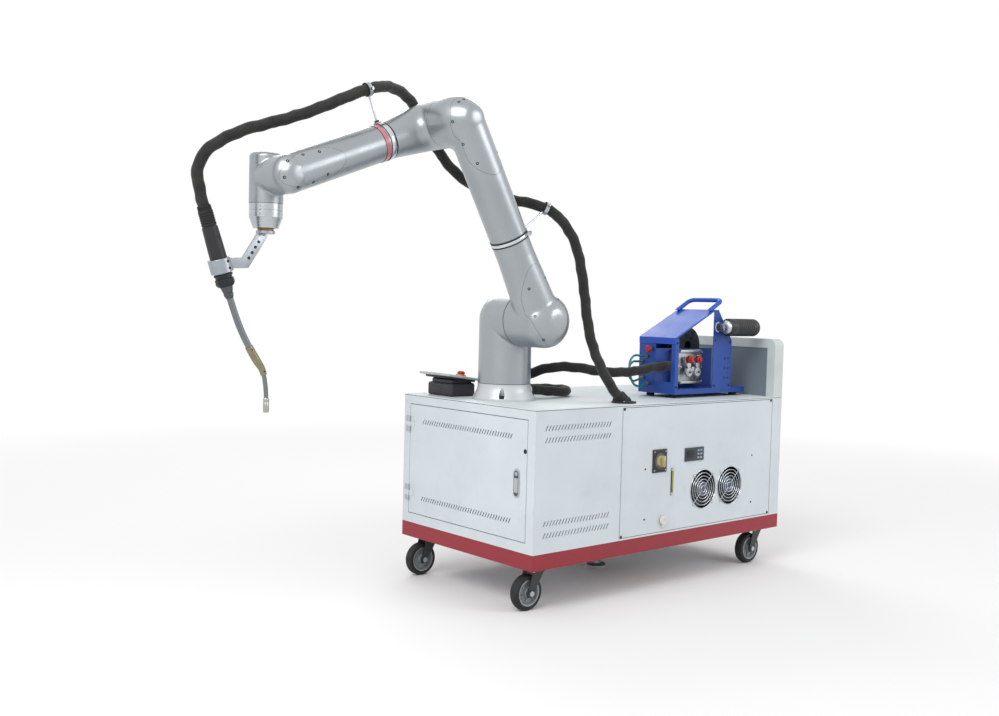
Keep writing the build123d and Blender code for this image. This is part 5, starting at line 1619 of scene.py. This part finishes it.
hose_clamp(
    "upper_hose_clamp_made", FOREARM, 208, 0, 62, (-1152.35, 0, 1748.29), "elbow",
    "upper_hose_clamp", 70, False,
)
hose_clamp(
    "lower_hose_clamp_made", UPPER_ARM, 326, 190, 67, (-508.18, -190, 1398.3), "upper_arm",
    "lower_hose_clamp", -62, True,
)

# Deck gland: a moulded rubber bell on a flange with four screws, leaning along the hose pack
# where it goes down through the deck into the cabinet.
GLAND_RUN = Vector((0.67, -0.19, -0.72)).normalized()
GLAND_AT = Vector((-190, -300, 700))
flange_plate = turned(
    "gland_flange", [(46, 0), (46, 4.6), (44.6, 6.6), (40, 7), (20, 7.4)], GLAND_AT, sides=72
)
bell_profile = [
    (30, -2), (28.6, -6), (27.4, -14), (26.8, -26), (26.9, -32), (25.6, -35.4), (21, -36),
    (20.4, -30),
]
bell = turned("gland_bell", [(30, 6), (29, 2)] + bell_profile, GLAND_AT, GLAND_RUN, sides=64)
alone(bell)
bpy.ops.object.mode_set(mode="EDIT")
bpy.ops.mesh.select_all(action="SELECT")
bpy.ops.mesh.bisect(plane_co=(0, 0, 0.7004), plane_no=(0, 0, 1), clear_inner=True, use_fill=True)
bpy.ops.object.mode_set(mode="OBJECT")
gland = given(joined("gland_rubber_bell", [flange_plate, bell]), rubber)
gland_screws = []
for corner in range(4):
    aim = math.radians(45 + 90 * corner)
    gland_screws.append(
        screw_head(
            "gland_screw", GLAND_AT + Vector((38 * math.cos(aim), 38 * math.sin(aim), 7)),
            (0, 0, 1), 3.6, 2,
        )
    )
gland_screws = given(joined("gland_screws", gland_screws), zinc)
fitted(joined("deck_gland_moulded", [gland, gland_screws]), "base", ("deck_gland",))


# Wire feeder frame: folded steel in blue gloss paint, with a tray on four feet, a corner post,
# side panels and a bulkhead, closed on top by a hinged sloping cover with a tube handle.
blue_paint = coated(
    "blue_gloss_enamel", "0A4098", 0.42, coat=0.15, peel=0.3, soil="20304A", soiled=0.2
)
dress(blue_paint, "feeder_frame")
cover_blue = coated(
    "blue_gloss_cover_enamel", "0848AE", 0.46, coat=0.12, peel=0.3, soil="20304A", soiled=0.12
)
dress(cover_blue, "feeder_cover")
feeder_feet = []
for x in (185, 565):
    for y in (-220, -100):
        feeder_feet.append(
            turned(
                "feeder_foot", [(15, 0.3), (16.5, 2), (16.5, 9), (14.6, 13), (14.2, 14.6)],
                (x, y, 700), sides=32,
            )
        )
given(joined("feeder_rubber_feet", feeder_feet), rubber, "base")
# Painted shade: the side panel's holes are dark discs on its face, beside its screws.
panel_holes = []
for row in range(3):
    for column in range(2):
        hole = turned(
            "panel_hole", [
                (4.4, 0), (4.6, 0.3), (4.4, 0.5), (3.6, 0.1), (0.5, 0.1)
            ], (462 + 22 * column, -255, 776 + 40 * row), NEAR_SIDE, sides=20
        )
        panel_holes.append(hole)
for x, z in ((397, 745), (493, 745), (397, 930), (493, 922), (160, 920), (160, 745)):
    panel_holes.append(screw_head("feeder_screw", (x, -255, z), NEAR_SIDE, 4.4, 2.4))
given(joined("feeder_panel_screws_and_hole_shade", panel_holes), dark_steel_and_hole_shade, "base")
# a folded lip and a rolled edge on the cover, and its two hinges at the crest
COVER_SLOPE = math.radians(26.1)
cover_up = (-math.sin(COVER_SLOPE), 0, math.cos(COVER_SLOPE))
cover_along = (math.cos(COVER_SLOPE), 0, math.sin(COVER_SLOPE))
cover_lips = [slab("cover_lip", (4, 188, 6), (148.5, -160, 917), edge=1.2)]
for y in (-254, -66):
    lip = slab("cover_edge", (260, 3, 7), (266, y, 993), cover_up, cover_along, edge=1.2)
    cover_lips.append(lip)
given(joined("feeder_cover_edges", cover_lips), cover_blue, "base")

# Drive unit: a die cast aluminium plate with gear covers, two rocker arms pressed down by red
# knobs on springs over grooved feed rollers, and a guide tube between them.
cast_metal = bright_metal(
    "die_cast_aluminium", "B4B7B8", 0.42, stretch=(1, 1, 1), depth=0.35, tarnish=0.2
)
knob_red = moulded("red_knob_plastic", "A51D22", 0.38)
DRIVE_FACE = -207.5
drive_parts = [
    given(
        slab("drive_plate", (148, 138, 38), (309, -171.6, 821), NEAR_SIDE, edge=2.4, segments=3),
        cast_metal,
    ),
    given(slab("drive_rim", (132, 10, 16), (309, -198, 884), NEAR_SIDE, edge=2), cast_metal),
    given(slab("drive_rim", (132, 10, 16), (309, -198, 757), NEAR_SIDE, edge=2), cast_metal),
]
for x in (282, 336):
    knob_profile = [
        (6, 0), (6, 3), (13.4, 4), (15, 6), (15, 19), (13.6, 21), (10, 22), (9, 27.4), (7, 28),
        (2, 28),
    ]
    drive_parts.append(
        given(
            turned("drive_knob", knob_profile, (x, DRIVE_FACE, 852), NEAR_SIDE, sides=40), knob_red
        )
    )
    for step in range(10):
        out = spoke_way(36 * step)
        rib = slab(
            "knob_rib", (1.6, 2.4, 12), Vector((x, DRIVE_FACE - 12.5, 852)) + out * 14.6, NEAR_SIDE,
            out, edge=0.5, segments=1,
        )
        drive_parts.append(given(rib, knob_red))
    collar = turned(
        "knob_spring",
        [
            (8.6, -18), (9.6, -17), (8.6, -16), (9.6, -13), (8.6, -12), (9.6, -9), (8.6, -8),
            (9.6, -5), (8.6, -4), (9, 0),
        ],
        (x, DRIVE_FACE, 852), NEAR_SIDE, sides=24,
    )
    drive_parts.append(given(collar, zinc))
    roller_profile = [
        (8, 0), (18, 0), (19, 1), (19, 5.4), (17.4, 6.6), (19, 7.8), (19, 12), (17.6, 13.2),
        (13, 13.6), (12.6, 16), (9, 16), (8.6, 13), (2, 12.6),
    ]
    drive_parts.append(
        given(
            turned("feed_roller", roller_profile, (x, DRIVE_FACE, 800), NEAR_SIDE, sides=48),
            satin_steel,
        )
    )
    drive_parts.append(
        given(
            turned(
                "top_roller", [(6, 0), (12, 0), (12.6, 1), (12.6, 9), (12, 10), (4, 10)],
                (x, DRIVE_FACE, 829), NEAR_SIDE, sides=40,
            ),
            satin_steel,
        )
    )
    arm = slab(
        "rocker_arm", (17, 52, 12), (x - 4, DRIVE_FACE + 4, 836), NEAR_SIDE, (0.95, 0, 0.3), edge=3,
        segments=3,
    )
    drive_parts.append(given(arm, cast_metal))
    drive_parts.append(
        given(
            screw_head("roller_screw", (x, DRIVE_FACE - 13.4, 800), NEAR_SIDE, 4.4, 2.4), dark_steel_and_hole_shade
        )
    )
drive_parts.append(
    given(
        turned(
            "guide_tube", [(3, 0), (3, 26), (2, 26.4)], (296, DRIVE_FACE - 5, 817), (1, 0, 0),
            sides=20,
        ),
        bright_metal("brass_guide", "A9803F", 0.3),
    )
)
drive_parts.append(
    given(
        slab("guide_block", (14, 20, 14), (309, DRIVE_FACE - 3, 812), NEAR_SIDE, edge=2), cast_metal
    )
)
for x in (244, 374):
    for z in (762, 820, 880):
        drive_parts.append(
            given(screw_head("drive_screw", (x, -206.2, z), NEAR_SIDE, 4, 2.2), zinc)
        )
drive_parts.append(
    given(slab("drive_guard", (30, 96, 14), (362, -197, 822), NEAR_SIDE, edge=2), cast_metal)
)
drive = joined("drive_unit_cast", drive_parts)
fitted(drive, "base", ("drive_unit",))

# Spool: a black moulded reel with ribs on its flanges and a grey hub cap. Copper coated wire is
# wound on it in a flat layer, drawn with thicker turns than real wire so that they show.
reel_black = moulded("black_reel_plastic", "1E2022", 0.5)
spool_core_section = [
    (20, 0), (76, 0), (76, 1), (76.0, 5), (75, 6), (46, 6), (46, 56), (75, 56), (76, 57), (76, 61),
    (75, 62), (20, 62),
]
reel = given(
    turned("spool_reel", spool_core_section, (350, -150, 905), (0, 1, 0), hollow=True, sides=96),
    reel_black,
)
wire_section = [(46, 6.4)]
for turn_number in range(24):
    at = 7.4 + turn_number * 2.05
    wire_section += [(62, at - 0.5), (63, at), (62, at + 0.5)]
wire_section += [(46, 55.6)]
wound = given(
    turned("spool_wire", wire_section, (350, -150, 905), (0, 1, 0), hollow=True, sides=96),
    bright_metal("copper_coated_wire", "9A6845", 0.32, stretch=(1, 1, 1)),
)
spool_ribs = []
for step in range(8):
    out = spoke_way(45 * step + 12)
    for y in (-150.8, -87.2):
        spool_ribs.append(
            slab(
                "spool_rib", (44, 3, 2), Vector((350, y, 905)) + out * 50, NEAR_SIDE, out, edge=0.6,
                segments=1,
            )
        )
spool_ribs = given(joined("spool_ribs", spool_ribs), reel_black)
hub_cap = given(
    turned(
        "spool_hub", [(26, 0), (26, 3), (20, 5), (8, 5.6)], (350, -88, 905), (0, 1, 0), sides=48
    ),
    fan_hub_grey,
)
fitted(
    joined("wire_spool_wound", [reel, wound, spool_ribs, hub_cap]), "base",
    ("wire_spool",),
)

# Hose connector: a turned brass quick coupling with a plated locking ring, screwed into the
# drive unit, where the base cable starts.
brass = bright_metal("brass_coupling", "B08D4A", 0.28, stretch=(14, 1, 1), tarnish=0.2)
connector_profile = [
    (15, 0), (16.4, 0.8), (16.4, 5), (14.6, 6), (14.6, 8), (17, 9), (17, 20), (14, 22), (14, 30)
]
connector = given(
    turned("connector_body", connector_profile, (205, -190, 825), (1, 0, 0), sides=48), brass
)
ring = given(
    turned(
        "connector_ring", [(14, 21), (16.6, 21), (17, 22), (17, 28), (16.6, 29.4), (14, 29.4)],
        (205, -190, 825), (1, 0, 0), hollow=True, sides=48,
    ), zinc
)
fitted(joined("brass_hose_coupling", [connector, ring]), "base", ("hose_connector",))

# Wire inlet: a silver elbow on the side panel that carries a ribbed black body, open at its far
# end, where the wire from a drum would come in.
inlet_stem = given(
    turned(
        "inlet_stem", [(20, -4), (22, -3), (22, 4), (19, 6), (19, 22), (22, 24), (22, 44)],
        (407, -256, 985), NEAR_SIDE, sides=8,
    ),
    satin_steel, angle=20,
)
inlet_parts = [inlet_stem]
inlet_profile = [(24, 0), (28, 2), (34.6, 6), (36, 9), (36, 30)]
for rib in range(9):
    at = 36 + rib * 13
    inlet_profile += [(36, at), (36, at + 5), (34, at + 6.4), (34, at + 11)]
inlet_profile += [
    (35.4, 158), (36, 160), (36, 176), (33, 183), (26, 185), (11, 185), (9, 184), (9, 146),
    (1, 145.6),
]
inlet_parts.append(
    given(turned("inlet_body", inlet_profile, (407, -300, 985), (1, 0, 0), sides=72), black_plastic)
)
inlet_parts.append(
    given(
        turned(
            "inlet_cap", [(12, 0), (22, 1.4), (26, 4), (28, 10), (28, 16)], (393, -300, 985),
            (1, 0, 0), sides=48,
        ),
        satin_steel,
    )
)
inlet_parts.append(
    given(
        turned(
            "inlet_pin", [(2.4, 0), (2.4, 9), (1.8, 9.6)], (582, -300, 1006), (1, 0, 0), sides=14
        ),
        zinc,
    )
)
fitted(joined("wire_inlet_body", inlet_parts), "base", ("wire_inlet",))

# Gas and water hoses: teal polyurethane tubes with brass unions, looped out of the feeder's end
# panel and back, and a red shut-off knob.
teal = moulded("teal_polyurethane", "1F7F86", 0.3, depth=0.05)
HOSE_SMALL = 0.009


def plain_round(run, turn, half):
    """The radius of a plain tube."""
    return half


def small_hose(name, points, material, diameter):
    """A short plain hose on a route that starts and ends in the feeder's end panel."""
    line = even_steps(smooth_line(name + "_line", points), 0.004)
    made = sleeved_tube(name, *tube_rings(line, diameter / 2, plain_round), diameter / 2)
    given(made, material)
    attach(made, "base")
    return made


small_hose(
    "teal_hose_upper",
    (
        (149, -108, 860), (112, -108, 862), (66, -112, 868), (28, -122, 842), (22, -132, 790),
        (40, -134, 752), (86, -128, 738), (122, -120, 748), (149, -118, 752),
    ),
    teal,
    HOSE_SMALL,
)
small_hose(
    "teal_hose_lower",
    (
        (149, -84, 838), (118, -84, 839), (84, -86, 840), (56, -92, 812), (58, -96, 776),
        (84, -96, 758), (120, -92, 768), (149, -90, 774),
    ),
    teal,
    HOSE_SMALL,
)
unions = []
for y, z in ((-108, 860), (-118, 752), (-84, 838), (-90, 774)):
    unions.append(
        given(
            turned(
                "hose_union",
                [(6.6, 0), (7.2, 0.6), (7.2, 7), (6.4, 8), (5.6, 8), (5.6, 12), (4.8, 13)],
                (150, y, z), (-1, 0, 0), sides=6,
            ),
            brass, angle=20,
        )
    )
unions.append(
    given(
        turned("valve_stem", [(4.4, 0), (4.4, 14)], (150, -128, 892), (-1, 0, 0), sides=20), brass
    )
)
valve_profile = [(6, 10), (12, 11), (14.4, 13), (14.4, 21), (12.4, 23.4), (6, 23.8)]
unions.append(
    given(
        turned("valve_knob", valve_profile, (150, -128, 892), (-1, 0, 0), sides=8), knob_red,
        angle=20,
    )
)
fitted(joined("feeder_unions_and_valve", unions), "base")

# Hand control: a black moulded body in two steps with a pale tilted tray that holds the screen,
# and a red mushroom button that slides in a bore inside an amber collar.
pendant_black = moulded("dark_pendant_plastic", "2B2B33", 0.5)
pendant_low = slab("pendant_body", (118, 150, 50), (-584, 235, 725.6), edge=10, segments=4)
pendant_top = slab("pendant_shoulder", (98, 126, 26), (-582, 235, 753), edge=6, segments=3)
pendant_foot = slab("pendant_foot", (106, 136, 3), (-584, 235, 701.6), edge=1)
grip_marks = [
    slab(
        "pendant_rib", (2.4, 96, 3), (-643 + 0.4, 235, 711 + 8 * row), edge=0.8, segments=1
    ) for row in range(4)
]
pendant_shell = given(
    joined("pendant_shell", [pendant_low, pendant_top, pendant_foot] + grip_marks), pendant_black
)
TRAY_TILT = math.radians(8)
TRAY_UP = Vector((math.sin(TRAY_TILT), 0, math.cos(TRAY_TILT)))
TRAY_ALONG = Vector((math.cos(TRAY_TILT), 0, -math.sin(TRAY_TILT)))
TRAY_AT = Vector((-600, 235, 772))


def on_tray(along, across, above):
    """A point in the tray's frame, from its middle."""
    return TRAY_AT + TRAY_ALONG * along + Vector((0, across, 0)) + TRAY_UP * above


button_at = on_tray(20, -50, 9)


def bored(piece, place, axis, radius, depth):
    """Drills a round hole into a piece from a place."""
    drill = turned("drill", [(radius, -depth), (radius, depth)], place, axis, sides=32)
    alone(piece)
    cut = piece.modifiers.new("bore", "BOOLEAN")
    cut.operation = "DIFFERENCE"
    cut.object = drill
    bpy.ops.object.modifier_apply(modifier=cut.name)
    bpy.data.objects.remove(drill)
    return piece


tray = bored(
    slab("pendant_tray", (166, 188, 9), on_tray(13, 0, 3), TRAY_UP, TRAY_ALONG, edge=3, segments=3),
    button_at, TRAY_UP, 7, 14,
)
given(tray, moulded("pale_tray_plastic", "AEB3B4", 0.42))
tray_under = bored(
    slab("pendant_under", (128, 150, 9), on_tray(11, 0, -4.4), TRAY_UP, TRAY_ALONG, edge=3),
    button_at, TRAY_UP, 7, 14,
)
given(tray_under, pendant_black)
screen = given(
    slab("pendant_screen", (132, 112, 1), on_tray(6, 30, 7.8), TRAY_UP, TRAY_ALONG, edge=0.4),
    moulded("dark_screen_glass", "15181C", 0.12, depth=0.01),
)
collar_section = [
    (7, -2), (19, -2), (19.4, 3.6), (18.6, 4.6), (16.6, 4.6), (16, 3.8), (16, 0.2), (7, 0.2)
]
button_collar = given(
    turned("button_collar", collar_section, button_at, TRAY_UP, hollow=True, sides=48),
    moulded("amber_collar_plastic", "D9922C", 0.4),
)
fitted(
    joined("pendant_moulded", [pendant_shell, tray, tray_under, screen, button_collar]), "base",
    ("pendant",),
)
button_profile = [
    (6, -7.4), (6, 4.4), (11, 4.6), (14.6, 6.4), (15, 9), (14.4, 13), (11.6, 16.4), (7, 18),
    (1.4, 18.2),
]
button = turned("stop_button_head", button_profile, button_at, TRAY_UP, sides=48)
given(
    button, moulded("red_button_plastic", "B6151B", 0.32, depth=0.08), "stop_button",
    ("stop_button",),
)


# Studio: a pale floor that fades to white with distance, a large soft lamp high on the left, a
# weaker one in front on the right and one behind. Mirrors and the camera see a white room.
bpy.ops.object.select_all(action="DESELECT")
bpy.ops.mesh.primitive_circle_add(vertices=96, radius=9, fill_type="NGON", location=(0.2, 0.4, 0))
floor = made_as("studio_floor")
bpy.ops.object.transform_apply(location=True)
floor_finish, tree, shader = new_material("white_floor", Roughness=0.75)
shader.inputs["Base Color"].default_value = (0.86, 0.86, 0.86, 1.0)
place = add_node(tree, "ShaderNodeTexCoord").outputs["Object"]
distance = add_node(
    tree, "ShaderNodeVectorMath", {"operation": "LENGTH"}, {0: place}
).outputs["Value"]
far = ramp(
    tree,
    add_node(
        tree, "ShaderNodeMapRange", {"From Min": 1.2, "From Max": 5.5}, {"Value": distance}
    ).outputs["Result"],
    grey(0.0),
    grey(1.0),
    0.0,
    1.0,
)
white = add_node(tree, "ShaderNodeEmission", {"Strength": 1.0})
white.inputs["Color"].default_value = (1, 1, 1, 1)
path = add_node(tree, "ShaderNodeLightPath")
seen = add_node(
    tree, "ShaderNodeMath", {"operation": "MAXIMUM"},
    {0: path.outputs["Is Camera Ray"], 1: path.outputs["Is Glossy Ray"]},
)
share = add_node(
    tree, "ShaderNodeMath", {"operation": "MULTIPLY"}, {0: far, 1: seen.outputs["Value"]}
)
mixed = add_node(
    tree, "ShaderNodeMixShader", {},
    {0: share.outputs["Value"], 1: shader.outputs["BSDF"], 2: white.outputs["Emission"]},
)
tree.links.new(mixed.outputs["Shader"], tree.nodes["Material Output"].inputs["Surface"])
floor.data.materials.append(floor_finish)


def soft_lamp(name, place, target, width, height, power):
    """A rectangular soft box aimed at a point."""
    data = bpy.data.lights.new(name, "AREA")
    data.shape = "RECTANGLE"
    data.size = width
    data.size_y = height
    data.energy = power
    lamp = bpy.data.objects.new(name, data)
    lamp.location = place
    lamp.rotation_euler = (Vector(target) - Vector(place)).to_track_quat("-Z", "Y").to_euler()
    bpy.context.scene.collection.objects.link(lamp)


soft_lamp("key_lamp", (-4.6, -1.6, 4.4), (-0.4, 0, 0.8), 3.2, 3.2, 190)
soft_lamp("fill_lamp", (2.6, -4.4, 3.0), (0, 0, 0.7), 3.0, 2.2, 70)
soft_lamp("rear_lamp", (1.6, 3.6, 3.6), (-0.4, 0, 1.0), 3.0, 1.4, 60)

world = bpy.data.worlds.new("studio_room")
bpy.context.scene.world = world
world.use_nodes = True
tree = world.node_tree
tree.nodes.clear()
path = add_node(tree, "ShaderNodeLightPath")
plain = add_node(tree, "ShaderNodeBackground", {"Strength": 0.62})
plain.inputs["Color"].default_value = (1, 1, 1, 1)
shown = add_node(tree, "ShaderNodeBackground", {"Strength": 1.0})
shown.inputs["Color"].default_value = (1, 1, 1, 1)
straight = add_node(
    tree, "ShaderNodeMath", {"operation": "MAXIMUM"},
    {0: path.outputs["Is Camera Ray"], 1: path.outputs["Is Transmission Ray"]},
)
mirror = add_node(
    tree, "ShaderNodeMath", {"operation": "MAXIMUM"},
    {0: straight.outputs["Value"], 1: path.outputs["Is Glossy Ray"]},
)
mixed = add_node(
    tree, "ShaderNodeMixShader", {},
    {0: mirror.outputs["Value"], 1: plain.outputs["Background"], 2: shown.outputs["Background"]},
)
add_node(tree, "ShaderNodeOutputWorld", {}, {"Surface": mixed.outputs["Shader"]})
bpy.context.scene.view_settings.view_transform = "Standard"
